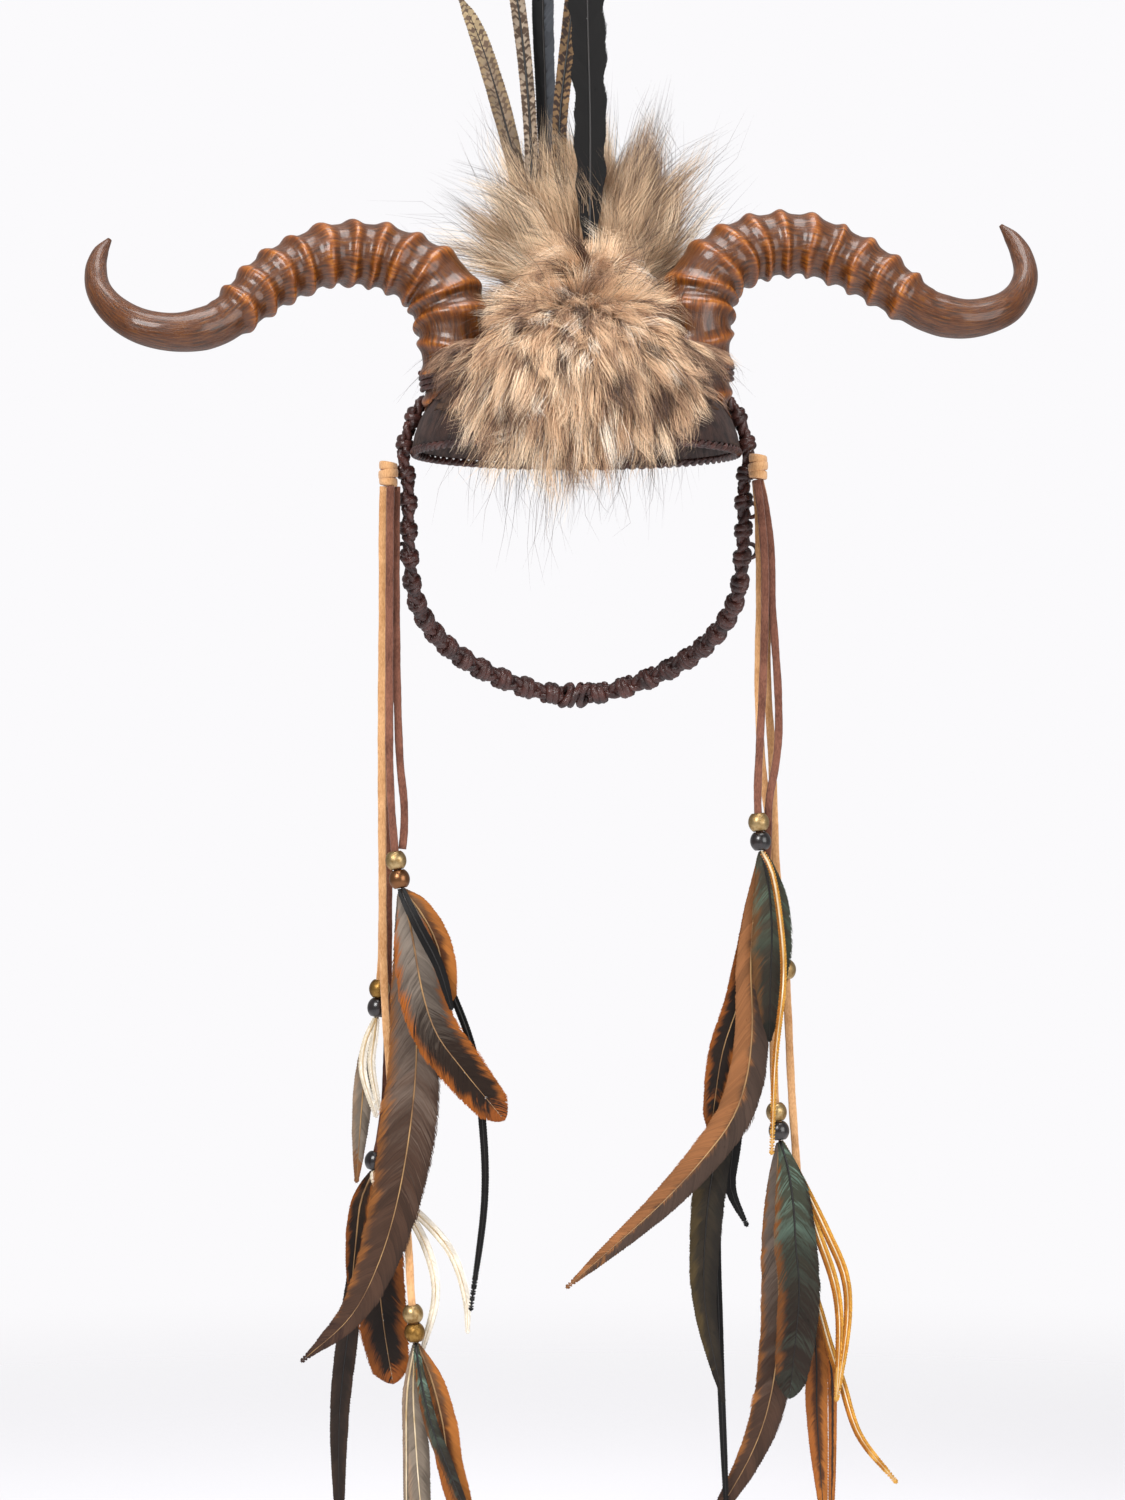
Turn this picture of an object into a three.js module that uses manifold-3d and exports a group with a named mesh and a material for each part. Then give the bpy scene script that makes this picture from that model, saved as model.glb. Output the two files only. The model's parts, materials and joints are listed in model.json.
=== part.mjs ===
// Feathered headdress: a leather cap that carries two ringed, curled horns, a fur front, a fur
// ruff with tall feathers, and knotted side straps. Suede laces hang from a knot at each side and
// carry beads and bunches of feathers.
//
// Millimetres. +Z is up, the front faces -Y, and the origin is the crown of the head, where the
// inside of the cap rests on it.

import * as THREE from 'three';
import { mergeVertices } from 'three/addons/utils/BufferGeometryUtils.js';
import Module from 'manifold-3d';

const wasm = await Module();
wasm.setup();

// Clearance between pieces that rest on each other
const gap = 0.3;

// Leather cap, an open dome that follows the top of the head
const headBreadth = 134;
const headDepth = 168;
const crownRise = 52;
const capWall = 2.4;
const capDrop = 46;

// Horns
const hornSpread = 100.8;
const hornSeatBack = -12;
const hornSeatDrop = 10;
const hornReach = 150;
const hornGirth = 33;
const hornRings = 14;
const hornRingDepth = 1.5;

// Fur front and fur ruff
const furFrontBreadth = 144;
const furFrontDepth = 136;
const furFrontRise = 48;
const furBrowDrop = 58;
const furBrowSlope = 17;
const crestBreadth = 60;
const crestDepth = 44;
const crestRise = 27;
const ruffBreadth = 72;
const ruffDepth = 34;
const ruffRise = 40;
const lockGirth = 11;
const lockLength = 27;

// Knotted side straps
const strapWidth = 7.6;
const strapThickness = 6.2;
const strapDrop = 148;
const strapKnotPitch = 12;
const strapKnotSwell = 0.22;
const strapLoopRadius = 3;
const strapLoopWire = 1.9;
const headClearance = 0.9;

// Laces, the knots that they hang from, and beads
const laceWidth = 3.3;
const laceThickness = 1.6;
const laceKnotWidth = 9;
const laceKnotDepth = 12.6;
const laceKnotHeight = 10;
const beadDiameter = 8.8;
const beadHeight = 7.6;
const beadBore = 4.6;
const beadShoulder = 0.78;

// Feathers
const quillDiameter = 1;
const quillPitch = 1.3;
const layerPitch = 2.4;
const fanShare = 0.02;
const vaneThickness = 1.4;
const tallQuillDiameter = 2.2;
const tallVaneThickness = 1.8;

const up = new THREE.Vector3(0, 0, 1);
const forward = new THREE.Vector3(0, -1, 0);
const backward = new THREE.Vector3(0, 1, 0);

// A geometry with its shared corners joined and only positions left
function weld(geometry) {
  geometry.deleteAttribute('normal');
  geometry.deleteAttribute('uv');
  return mergeVertices(geometry, 1e-4);
}

function solidOf(geometry) {
  return new wasm.Manifold(new wasm.Mesh({
    numProp: 3,
    vertProperties: geometry.attributes.position.array,
    triVerts: Uint32Array.from(geometry.index.array),
  }));
}

function geometryOf(solid) {
  const { vertProperties, triVerts } = solid.getMesh();
  const geometry = new THREE.BufferGeometry();
  geometry.setAttribute('position', new THREE.BufferAttribute(vertProperties, 3));
  geometry.setIndex(new THREE.BufferAttribute(triVerts, 1));
  return geometry;
}

// A named piece with its own finish
function piece(name, geometry, { color, roughness, metalness = 0 }) {
  geometry.computeVertexNormals();
  const mesh = new THREE.Mesh(geometry, new THREE.MeshStandardMaterial({ color, roughness, metalness }));
  mesh.name = name;
  return mesh;
}

// A body whose section changes along a path. facing gives the way that the section's front looks
// at a point, and sectionAt gives its half sizes to the right, to the left and from front to back.
function sweep({ path, stations, sides, facing, sectionAt }) {
  const steps = stations.length - 1;
  const geometry = new THREE.CylinderGeometry(1, 1, 1, sides, steps);
  const corners = geometry.attributes.position;
  const corner = new THREE.Vector3();
  for (let index = 0; index < corners.count; index += 1) {
    corner.fromBufferAttribute(corners, index);
    const station = stations[Math.round((0.5 - corner.y) * steps)];
    const point = path.getPointAt(station);
    const tangent = path.getTangentAt(station);
    const front = facing(point).clone();
    front.addScaledVector(tangent, -front.dot(tangent)).normalize();
    const side = front.clone().cross(tangent);
    const { right, left, deep } = sectionAt(station);
    point.addScaledVector(side, corner.x * (corner.x > 0 ? right : left));
    point.addScaledVector(front, corner.z * deep);
    corners.setXYZ(index, point.x, point.y, point.z);
  }
  return weld(geometry);
}

function evenStations(steps) {
  return Array.from({ length: steps + 1 }, (_, index) => index / steps);
}

// The value of a table's column at a share of its path's length
function columnAt(path, rows, column, share) {
  const place = path.getUtoTmapping(share) * (rows.length - 1);
  const row = Math.min(Math.floor(place), rows.length - 2);
  return THREE.MathUtils.lerp(rows[row][column], rows[row + 1][column], place - row);
}

// The value of an outline table at a share of the feather's length
function outlineAt(rows, share) {
  const next = Math.max(1, rows.findIndex((row) => row.at >= share));
  const { at: from, width: start } = rows[next - 1];
  const { at: to, width: end } = rows[next];
  return THREE.MathUtils.lerp(start, end, (share - from) / (to - from));
}

function ellipsoid({ centre, breadth, depth, rise }, around, over) {
  const geometry = weld(new THREE.SphereGeometry(1, around, over));
  geometry.rotateX(Math.PI / 2);
  geometry.scale(breadth / 2, depth / 2, rise);
  geometry.translate(centre.x, centre.y, centre.z);
  return geometry;
}

const domeFacets = 24;
const domeSteps = 5;

// The dome that lies a given distance outside the head, cut level at a given height
function domeProfile(offset, level) {
  const radius = headBreadth / 2 + offset;
  const rise = crownRise + offset;
  const lastAngle = Math.acos((level + crownRise) / rise);
  return evenStations(domeSteps).map((share) => {
    const angle = share * lastAngle;
    return new THREE.Vector2(radius * Math.sin(angle), rise * Math.cos(angle) - crownRise);
  });
}

function turnDome(profile) {
  const geometry = weld(new THREE.LatheGeometry(profile, domeFacets));
  geometry.rotateX(Math.PI / 2);
  geometry.scale(1, headDepth / headBreadth, 1);
  return geometry;
}

function buildCap() {
  const inside = domeProfile(0, -capDrop);
  const outside = domeProfile(capWall, -capDrop);
  return turnDome([...inside, ...outside.reverse()]);
}

// The room that the cap and the head below it take, with the usual clearance
function headForm() {
  const reach = 60;
  const outside = domeProfile(capWall + gap, -capDrop);
  const edge = outside[outside.length - 1];
  const skirt = new THREE.Vector2(edge.x, edge.y - reach);
  const foot = new THREE.Vector2(0, edge.y - reach);
  return solidOf(turnDome([foot, skirt, ...outside.reverse()]));
}

// Horn centre line and thickness: the way out from its seat, up and back are shares of hornReach,
// and girth is a share of hornGirth
const hornRows = [
  { out: -0.01, up: -0.15, back: 0, girth: 0.86 },
  { out: 0, up: 0, back: 0, girth: 0.92 },
  { out: 0, up: 0.077, back: 0, girth: 1 },
  { out: 0.02, up: 0.149, back: 0.02, girth: 0.99 },
  { out: 0.052, up: 0.212, back: 0.03, girth: 0.95 },
  { out: 0.109, up: 0.255, back: 0.04, girth: 0.9 },
  { out: 0.171, up: 0.285, back: 0.05, girth: 0.87 },
  { out: 0.225, up: 0.3, back: 0.05, girth: 0.87 },
  { out: 0.291, up: 0.305, back: 0.04, girth: 0.86 },
  { out: 0.36, up: 0.297, back: 0.02, girth: 0.83 },
  { out: 0.431, up: 0.268, back: 0, girth: 0.8 },
  { out: 0.49, up: 0.232, back: -0.03, girth: 0.77 },
  { out: 0.545, up: 0.187, back: -0.06, girth: 0.73 },
  { out: 0.597, up: 0.135, back: -0.09, girth: 0.67 },
  { out: 0.66, up: 0.088, back: -0.12, girth: 0.57 },
  { out: 0.75, up: 0.064, back: -0.15, girth: 0.5 },
  { out: 0.856, up: 0.081, back: -0.15, girth: 0.44 },
  { out: 0.931, up: 0.125, back: -0.11, girth: 0.385 },
  { out: 0.983, up: 0.189, back: -0.06, girth: 0.325 },
  { out: 0.999, up: 0.257, back: 0, girth: 0.28 },
  { out: 0.99, up: 0.308, back: 0.04, girth: 0.2 },
  { out: 0.968, up: 0.345, back: 0.06, girth: 0.06 },
];
const hornRingedShare = 0.62;
const hornSmoothSteps = 8;
const hornSides = 9;

// Each horn's own set: side, tilt of its outer end and swing to the back in degrees, and the lift
// of its seat
const hornSets = {
  horn_left: { side: -1, tilt: 0, swing: 0, lift: 0 },
  horn_right: { side: 1, tilt: 3.5, swing: 18, lift: 2.6 },
};

function hornPath({ side, tilt, swing, lift }) {
  const seat = new THREE.Vector3(hornSpread / 2, hornSeatBack, -hornSeatDrop + lift);
  const points = hornRows.map((row) => {
    const point = new THREE.Vector3(row.out, row.back, row.up).multiplyScalar(hornReach);
    point.applyAxisAngle(backward, THREE.MathUtils.degToRad(-tilt));
    point.applyAxisAngle(up, THREE.MathUtils.degToRad(swing));
    point.add(seat);
    point.x *= side;
    return point;
  });
  return new THREE.CatmullRomCurve3(points);
}

function hornRadius(path, station) {
  return (columnAt(path, hornRows, 'girth', station) * hornGirth) / 2;
}

function buildHorn(set) {
  const path = hornPath(set);
  const ringed = evenStations(hornRings * 2).map((share) => share * hornRingedShare);
  const plainShare = 1 - hornRingedShare;
  const smooth = evenStations(hornSmoothSteps).map((share) => hornRingedShare + plainShare * share);
  const sectionAt = (station) => {
    const valley = Math.round((station / hornRingedShare) * hornRings * 2) % 2 === 0;
    const depth = station <= hornRingedShare && valley ? hornRingDepth : 0;
    const radius = hornRadius(path, station) - depth;
    return { right: radius, left: radius, deep: radius };
  };
  const stations = [...ringed, ...smooth.slice(1)];
  return solidOf(sweep({ path, stations, sides: hornSides, facing: () => forward, sectionAt }));
}

// The plain round room that a horn's foot takes in the fur
function hornSocket(set) {
  const path = hornPath(set);
  const sectionAt = (station) => {
    const radius = hornRadius(path, station) + gap * 2;
    return { right: radius, left: radius, deep: radius };
  };
  const stations = evenStations(hornRings).map((share) => share * hornRingedShare);
  return solidOf(sweep({ path, stations, sides: hornSides, facing: () => forward, sectionAt }));
}

// A cut can leave loose tips of fur behind, and only the main body stays
function mainBody(solid) {
  return solid.decompose().reduce((most, each) => (each.volume() > most.volume() ? each : most));
}

// Fur forms, placed on the crown
const furFront = {
  centre: new THREE.Vector3(1, -34, -28),
  breadth: furFrontBreadth,
  depth: furFrontDepth,
  rise: furFrontRise,
};
const crest = {
  centre: new THREE.Vector3(4, -crestDepth / 2 + 1, 9),
  breadth: crestBreadth,
  depth: crestDepth,
  rise: crestRise,
};
const ruff = {
  centre: new THREE.Vector3(4, ruffDepth / 2 - 1, 38),
  breadth: ruffBreadth,
  depth: ruffDepth,
  rise: ruffRise,
};

// A point on a form: azimuth is 0 at the front and grows to the right, elevation is 90 at the top
function pointOn({ centre, breadth, depth, rise }, azimuth, elevation, share = 1) {
  const turn = THREE.MathUtils.degToRad(azimuth);
  const climb = THREE.MathUtils.degToRad(elevation);
  const way = new THREE.Vector3(
    (breadth / 2) * Math.sin(turn) * Math.cos(climb),
    (-depth / 2) * Math.cos(turn) * Math.cos(climb),
    rise * Math.sin(climb),
  );
  return way.multiplyScalar(share).add(centre);
}

// A tapered, slightly drooping lock of fur
function lock(root, aim, { length, girth, droop, outward }) {
  const middle = root.clone().addScaledVector(aim, lockLength * length * 0.5);
  const tip = root.clone().addScaledVector(aim, lockLength * length);
  tip.addScaledVector(up, -droop * lockLength * length);
  const path = new THREE.QuadraticBezierCurve3(root, middle, tip);
  const sectionAt = (share) => {
    const half = (lockGirth * girth * (1 - 0.3 * share - 0.62 * share * share)) / 2;
    return { right: half, left: half, deep: half * 0.6 };
  };
  return solidOf(sweep({ path, stations: [0, 0.5, 1], sides: 4, facing: () => outward, sectionAt }));
}

// Rings of locks on the fur front, from the whorl down to the brow: elevation, its rise towards the
// sides and the azimuth reached there in degrees, length and girth as shares of lockLength and
// lockGirth
const frontLockRings = [
  { elevation: 50, rising: 0, count: 5, azimuth: 60, length: 0.9, girth: 1.15, lift: 0.3 },
  { elevation: 22, rising: 4, count: 7, azimuth: 62, length: 1, girth: 1.2, lift: 0.3 },
  { elevation: -8, rising: 12, count: 11, azimuth: 80, length: 1.05, girth: 1, lift: 0.2 },
];
const whorl = new THREE.Vector3(5, -34, 34);

// Fans of locks on the ruff: tilt is measured from straight up, in degrees
const ruffLockFans = [
  { back: 0.1, count: 11, tilt: 104, length: 1.25, girth: 1.1 },
  { back: 0.75, count: 9, tilt: 92, length: 1.4, girth: 1 },
];
const ruffBackLocks = { count: 5, azimuth: 60, length: 0.8, girth: 1.2 };

function fanShares(count) {
  return evenStations(count - 1).map((share) => share * 2 - 1);
}

function frontLocks() {
  return frontLockRings.flatMap((ring) => fanShares(ring.count).map((share, index) => {
    const elevation = ring.elevation + ring.rising * share * share + (index % 2) * 4;
    const root = pointOn(furFront, share * ring.azimuth, elevation, 0.92);
    const outward = root.clone().sub(furFront.centre).normalize();
    const aim = root.clone().sub(whorl).normalize();
    aim.addScaledVector(outward, -aim.dot(outward)).normalize();
    aim.addScaledVector(outward, ring.lift).normalize();
    const length = ring.length * (index % 2 === 0 ? 1 : 0.85);
    return lock(root, aim, { length, girth: ring.girth, droop: 0.1, outward });
  }));
}

function ruffLocks() {
  const fans = ruffLockFans.flatMap((fan) => fanShares(fan.count).map((share, index) => {
    const tilt = THREE.MathUtils.degToRad(share * fan.tilt);
    const aim = new THREE.Vector3(Math.sin(tilt), 0.12, Math.cos(tilt)).normalize();
    const root = ruff.centre.clone();
    root.x += (ruffBreadth / 2) * 0.72 * Math.sin(tilt);
    root.y += (fan.back - 0.5) * ruffDepth * 0.6;
    root.z += ruffRise * 0.72 * Math.cos(tilt);
    const length = fan.length * (index % 2 === 0 ? 1 : 0.78);
    return lock(root, aim, { length, girth: fan.girth, droop: 0.08, outward: forward });
  }));
  const backs = fanShares(ruffBackLocks.count).map((share) => {
    const root = pointOn(ruff, 180 + share * ruffBackLocks.azimuth, 10, 0.8);
    const aim = root.clone().sub(ruff.centre).normalize().addScaledVector(up, 0.5).normalize();
    return lock(root, aim, { ...ruffBackLocks, droop: 0.1, outward: up });
  });
  return [...fans, ...backs];
}

// Half of the space in front of (-1) or behind (1) a plane across the crown
function halfSpace(sign, plane) {
  const size = 400;
  const box = weld(new THREE.BoxGeometry(size, size, size));
  box.translate(0, plane + (sign * size) / 2, 0);
  return solidOf(box);
}

// The space under the brow line, which rises from the forehead to the back
function underBrow() {
  const size = 400;
  const box = weld(new THREE.BoxGeometry(size, size, size));
  box.translate(0, size / 4, -size / 2);
  box.rotateX(THREE.MathUtils.degToRad(furBrowSlope));
  box.translate(0, furFront.centre.y - furFrontDepth / 2, -furBrowDrop);
  return solidOf(box);
}

const ruffParting = 1;

// What is cut from fur: the head and cap, the horns' feet and the quills that stand in it
function seatFur(fur, quills) {
  const sockets = Object.values(hornSets).map((set) => hornSocket(set));
  const bores = quills.map((row) => solidOf(buildTallFeather(row, gap)));
  return mainBody([headForm(), ...sockets, ...bores].reduce((rest, each) => rest.subtract(each), fur));
}

function buildFurFront() {
  const pad = solidOf(ellipsoid(furFront, 14, 8)).subtract(underBrow());
  const padAndCrest = pad.add(solidOf(ellipsoid(crest, 10, 6)));
  const fur = frontLocks().reduce((sum, each) => sum.add(each), padAndCrest);
  const quills = tallFeathers.filter((row) => row.seat === 'crest');
  return seatFur(fur.subtract(halfSpace(1, ruffParting - gap)), quills);
}

function buildRuff() {
  const fur = ruffLocks().reduce((sum, each) => sum.add(each), solidOf(ellipsoid(ruff, 10, 7)));
  const quills = tallFeathers.filter((row) => row.seat === 'ruff');
  return seatFur(fur.subtract(halfSpace(-1, ruffParting)), quills);
}

// Outlines of feathers: width as a share of the feather's half width
const outlines = {
  leaf: [
    { at: 0, width: 0 }, { at: 0.05, width: 0.2 }, { at: 0.2, width: 0.8 }, { at: 0.42, width: 1 },
    { at: 0.7, width: 0.96 }, { at: 0.88, width: 0.62 }, { at: 1, width: 0.08 },
  ],
  blade: [
    { at: 0, width: 0 }, { at: 0.06, width: 0.35 }, { at: 0.25, width: 0.85 }, { at: 0.5, width: 1 },
    { at: 0.7, width: 0.8 }, { at: 0.87, width: 0.45 }, { at: 1, width: 0.05 },
  ],
  strip: [
    { at: 0, width: 0.5 }, { at: 0.1, width: 0.8 }, { at: 0.5, width: 1 },
    { at: 0.85, width: 0.7 }, { at: 1, width: 0.15 },
  ],
  tall: [
    { at: 0, width: 0 }, { at: 0.1, width: 0 }, { at: 0.22, width: 0.75 }, { at: 0.5, width: 1 },
    { at: 0.8, width: 0.9 }, { at: 0.93, width: 0.6 }, { at: 1, width: 0.06 },
  ],
};

// A feather: a flat vane with a ridge along its shaft, on a round quill
function vane({ path, width, right, outline, quill, thickness, facing, steps, grow = 0 }) {
  const rows = outlines[outline];
  const sectionAt = (share) => {
    const spread = width * outlineAt(rows, share);
    const shaft = (quill / 2) * (1 - 0.8 * share);
    const rise = THREE.MathUtils.lerp(thickness, 0.35 * thickness, share) / 2;
    return {
      right: Math.max(shaft, spread * right) + grow,
      left: Math.max(shaft, spread * (1 - right)) + grow,
      deep: Math.max(shaft, Math.min(rise, spread)) + grow,
    };
  };
  return sweep({ path, stations: evenStations(steps), sides: 4, facing: () => facing, sectionAt });
}

// Tall feathers. foot is where the quill ends, as shares of the ruff's half breadth, depth and
// rise from the ruff's centre; run holds points aside and up as shares of the length.
const tallFeathers = [
  {
    name: 'tall_feather_tan',
    seat: 'ruff', finish: 'barredTan', outline: 'tall', length: 99, width: 8,
    foot: { across: -0.74, back: 0, rise: 0.3 },
    run: [[-0.02, 0.2], [-0.09, 0.5], [-0.2, 0.84], [-0.27, 0.98]],
  },
  {
    name: 'tall_feather_barred',
    seat: 'ruff', finish: 'barredDark', outline: 'strip', length: 205, width: 6,
    foot: { across: -0.62, back: -0.3, rise: 0.3 },
    run: [[-0.005, 0.2], [-0.03, 0.45], [-0.12, 0.96]],
  },
  {
    name: 'tall_feather_grey',
    seat: 'ruff', finish: 'blackGrey', outline: 'tall', length: 190, width: 9,
    foot: { across: -0.42, back: 0.3, rise: 0.35 },
    run: [[-0.01, 0.3], [-0.015, 0.5], [0, 0.99]],
  },
  {
    name: 'tall_feather_golden',
    seat: 'ruff', finish: 'barredGold', outline: 'strip', length: 168, width: 6.6,
    foot: { across: -0.26, back: -0.35, rise: 0.4 },
    run: [[-0.01, 0.2], [0.02, 0.5], [0.07, 0.97]],
  },
  {
    name: 'tall_feather_black',
    seat: 'crest', finish: 'black', outline: 'tall', length: 258, width: 15,
    foot: { across: 0.04, back: -1.25, rise: -0.38 },
    run: [[0.002, 0.25], [-0.003, 0.55], [0.015, 0.99]],
  },
];

function buildTallFeather({ foot, run, length, width, outline }, grow = 0) {
  const start = ruff.centre.clone();
  start.x += (foot.across * ruffBreadth) / 2;
  start.y += (foot.back * ruffDepth) / 2;
  start.z += foot.rise * ruffRise;
  const points = run.map(([aside, rise]) => {
    const point = start.clone();
    point.x += aside * length;
    point.z += rise * length;
    return point;
  });
  start.z -= grow;
  return vane({
    path: new THREE.CatmullRomCurve3([start, ...points]),
    width,
    right: 0.5,
    outline,
    quill: tallQuillDiameter,
    thickness: tallVaneThickness,
    facing: backward,
    steps: 8,
    grow,
  });
}

// Side straps: around is the angle from the side of the head to its back in degrees, drop is a
// share of strapDrop, and over marks the stretch that lies on the cap
const strapRows = [
  { around: 3, drop: 0.165, over: 1 },
  { around: 3, drop: 0.225, over: 1 },
  { around: 3, drop: 0.285, over: 1 },
  { around: 3, drop: 0.335, over: 1 },
  { around: 4, drop: 0.405, over: 0 },
  { around: 5, drop: 0.507, over: 0 },
  { around: 8, drop: 0.608, over: 0 },
  { around: 14, drop: 0.71, over: 0 },
  { around: 27, drop: 0.8, over: 0 },
  { around: 43, drop: 0.88, over: 0 },
  { around: 61, drop: 0.946, over: 0 },
  { around: 76, drop: 0.986, over: 0 },
  { around: 86, drop: 1, over: 0 },
];

function strapPath(side, standOff) {
  const points = strapRows.map(({ around, drop, over }) => {
    const off = standOff + (over ? capWall + gap : headClearance);
    const fall = drop * strapDrop;
    const climb = Math.max(0, crownRise - fall) / (crownRise + off);
    const reach = Math.sqrt(1 - climb * climb);
    const angle = THREE.MathUtils.degToRad(around);
    return new THREE.Vector3(
      side * (headBreadth / 2 + off) * reach * Math.cos(angle),
      (headDepth / 2 + off) * reach * Math.sin(angle),
      -fall,
    );
  });
  return new THREE.CatmullRomCurve3(points);
}

const strapLoopPlaces = { strap_left: [0.34], strap_right: [0.25, 0.34] };

function outwardFrom(point) {
  return new THREE.Vector3(point.x, point.y, 0).normalize();
}

function buildStrap(side, loopPlaces, grow = 0) {
  const path = strapPath(side, strapThickness / 2);
  const knots = Math.round(path.getLength() / strapKnotPitch);
  const sectionAt = (share) => {
    const swell = Math.round(share * knots * 2) % 2 === 0 ? 0 : strapKnotSwell;
    const drop = share * path.getLength();
    const free = drop > capDrop ? 1 + swell : 1;
    return {
      right: (strapWidth / 2) * (1 + swell) + grow,
      left: (strapWidth / 2) * (1 + swell) + grow,
      deep: (strapThickness / 2) * free + grow,
    };
  };
  const body = sweep({ path, stations: evenStations(knots * 2), sides: 6, facing: outwardFrom, sectionAt });
  return loopPlaces.reduce((strap, place) => {
    const centre = path.getPointAt(place);
    centre.addScaledVector(outwardFrom(centre), strapThickness / 2);
    const loop = weld(new THREE.TorusGeometry(strapLoopRadius, strapLoopWire / 2, 5, 8));
    loop.rotateX(Math.PI / 2);
    loop.translate(centre.x, centre.y, centre.z);
    return strap.add(solidOf(loop));
  }, solidOf(body));
}

// The plain knot at the nape that joins the two straps, fused to the right one
function buildNapeKnot(grow = 0) {
  const centre = strapPath(1, strapThickness / 2).getPointAt(1);
  const knot = weld(new THREE.SphereGeometry(1, 8, 6));
  knot.rotateX(Math.PI / 2);
  knot.scale(centre.x + strapThickness / 2 + grow, strapThickness * 0.72 + grow, strapWidth * 0.72 + grow);
  knot.translate(0, centre.y + strapThickness * 0.2, centre.z);
  return solidOf(knot);
}

// Laces. Each route's points are chosen by hand, in millimetres, and start under the knot.
const laces = [
  {
    name: 'lace_left_tan', knot: 'lace_knot_left', finish: 'suedeTan', beads: ['brass', 'brassDark'],
    route: [
      [-80.6, -2.7, -61.6], [-81.1, -2.6, -76], [-81.1, -2.4, -109], [-81.5, -2.2, -151],
      [-81.5, -2, -193], [-81.1, -2, -235], [-80.2, -2, -277], [-77.7, -2, -311],
      [-74.3, -2, -344], [-70.6, -2, -376], [-69.3, -2, -399], [-68.5, -2, -408],
      [-67.3, -2, -420.4],
    ],
  },
  {
    name: 'lace_left_brown', knot: 'lace_knot_left', finish: 'suedeBrown', beads: ['brass', 'copper'],
    route: [
      [-77.7, -5, -61.6], [-77.9, -5.3, -76], [-78.1, -6.2, -109], [-78.1, -8.4, -151],
      [-78, -9.6, -173], [-77.3, -10.6, -193], [-76, -11.4, -210], [-75.2, -11.7, -218],
      [-73.8, -12, -225.5], [-73.1, -12, -229.8],
    ],
  },
  {
    name: 'lace_left_brown_second', knot: 'lace_knot_left', finish: 'suedeBrown', beads: [],
    route: [
      [-75.4, -0.4, -61.6], [-75.5, -0.6, -76], [-75.5, -2, -109], [-74.8, -4.6, -151],
      [-73.6, -6.6, -178], [-71.9, -8, -195], [-71.9, -8.8, -206], [-72.6, -9.2, -213.6],
    ],
  },
  {
    name: 'lace_left_rear', knot: 'lace_knot_left', finish: 'suedeTan', beads: ['brassDark', 'blackWood'],
    route: [
      [-80.9, 1.9, -61.6], [-81.1, 1.9, -76], [-81.3, 2.1, -109], [-81.5, 3, -151],
      [-81.5, 3.8, -193], [-81.5, 4.3, -235], [-81.8, 4.5, -258], [-82.5, 4.5, -270],
      [-83.3, 4.5, -279], [-83.9, 4.5, -284.4],
    ],
  },
  {
    name: 'lace_left_low', knot: 'lace_knot_left', finish: 'suedeBrown', beads: ['blackWood'],
    route: [
      [-77.4, 4.2, -61.6], [-77.6, 4.5, -76], [-78.2, 6, -109], [-78.6, 8, -151],
      [-78.9, 9.6, -193], [-79.2, 11, -235], [-79.5, 11.5, -277], [-80.6, 11.5, -319],
      [-83, 11.5, -337], [-85, 11.5, -346], [-85.4, 11.5, -349.6],
    ],
  },
  {
    name: 'lace_right_tan', knot: 'lace_knot_right', finish: 'suedeTan', beads: [],
    passing: { finish: 'brass', at: 0.626 },
    route: [
      [77.2, 0.1, -59.1], [79.2, 0.1, -68.5], [80, 0, -84], [80, -0.4, -109],
      [80.4, -1.2, -146], [81.8, -1.8, -168], [82.9, -2, -193], [83.8, -2, -218],
      [85.9, -1.6, -244], [88, -0.2, -264], [89.2, 2.2, -284], [90.2, 5.6, -303],
      [91.4, 8.8, -323], [92.9, 10.6, -343], [94.4, 11, -366], [95.4, 11, -386.4],
    ],
  },
  {
    name: 'lace_right_tan_second', knot: 'lace_knot_right', finish: 'suedeTan', beads: ['brass', 'blackWood'],
    route: [
      [75.6, 2.4, -59], [76.4, 2.4, -67.5], [77, 2.4, -84], [77.3, 2.4, -109],
      [76.7, 2.4, -142], [77.7, 2.4, -171], [79.4, 2.5, -189], [81.8, 3, -206],
      [82.7, 3.8, -223], [83, 4.8, -248], [82.7, 5, -277], [83.2, 4.6, -302],
      [84, 4.2, -321], [85.3, 4, -331], [85.8, 4, -336.2],
    ],
  },
  {
    name: 'lace_right_brown', knot: 'lace_knot_right', finish: 'suedeBrown', beads: ['brass', 'blackWood'],
    route: [
      [75.6, -4.5, -59], [77.2, -4.6, -70], [79, -4.9, -92], [79, -5.8, -118],
      [78, -7.6, -147], [76.6, -9.6, -172], [75.8, -11, -189], [76, -11.8, -200],
      [76.7, -12, -207], [77.3, -12, -214],
    ],
  },
  {
    name: 'lace_right_brown_second', knot: 'lace_knot_right', finish: 'suedeBrown', beads: [],
    route: [
      [76.8, -2.2, -59.1], [79.6, -2.2, -71], [81.9, -2.4, -91], [82.1, -3, -109],
      [83.2, -3.8, -125], [84.6, -4.8, -147], [84.8, -5.4, -166], [83.6, -5.8, -178],
      [80.9, -6, -193], [80.2, -6, -211], [79, -5.2, -235], [76.9, -3.6, -256],
      [74.6, -2.3, -275], [73.9, -2, -281],
    ],
  },
];

const laceStep = 20;
const laceSides = 8;

function lacePath(lace) {
  return new THREE.CatmullRomCurve3(lace.route.map((point) => new THREE.Vector3(...point)));
}

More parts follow.
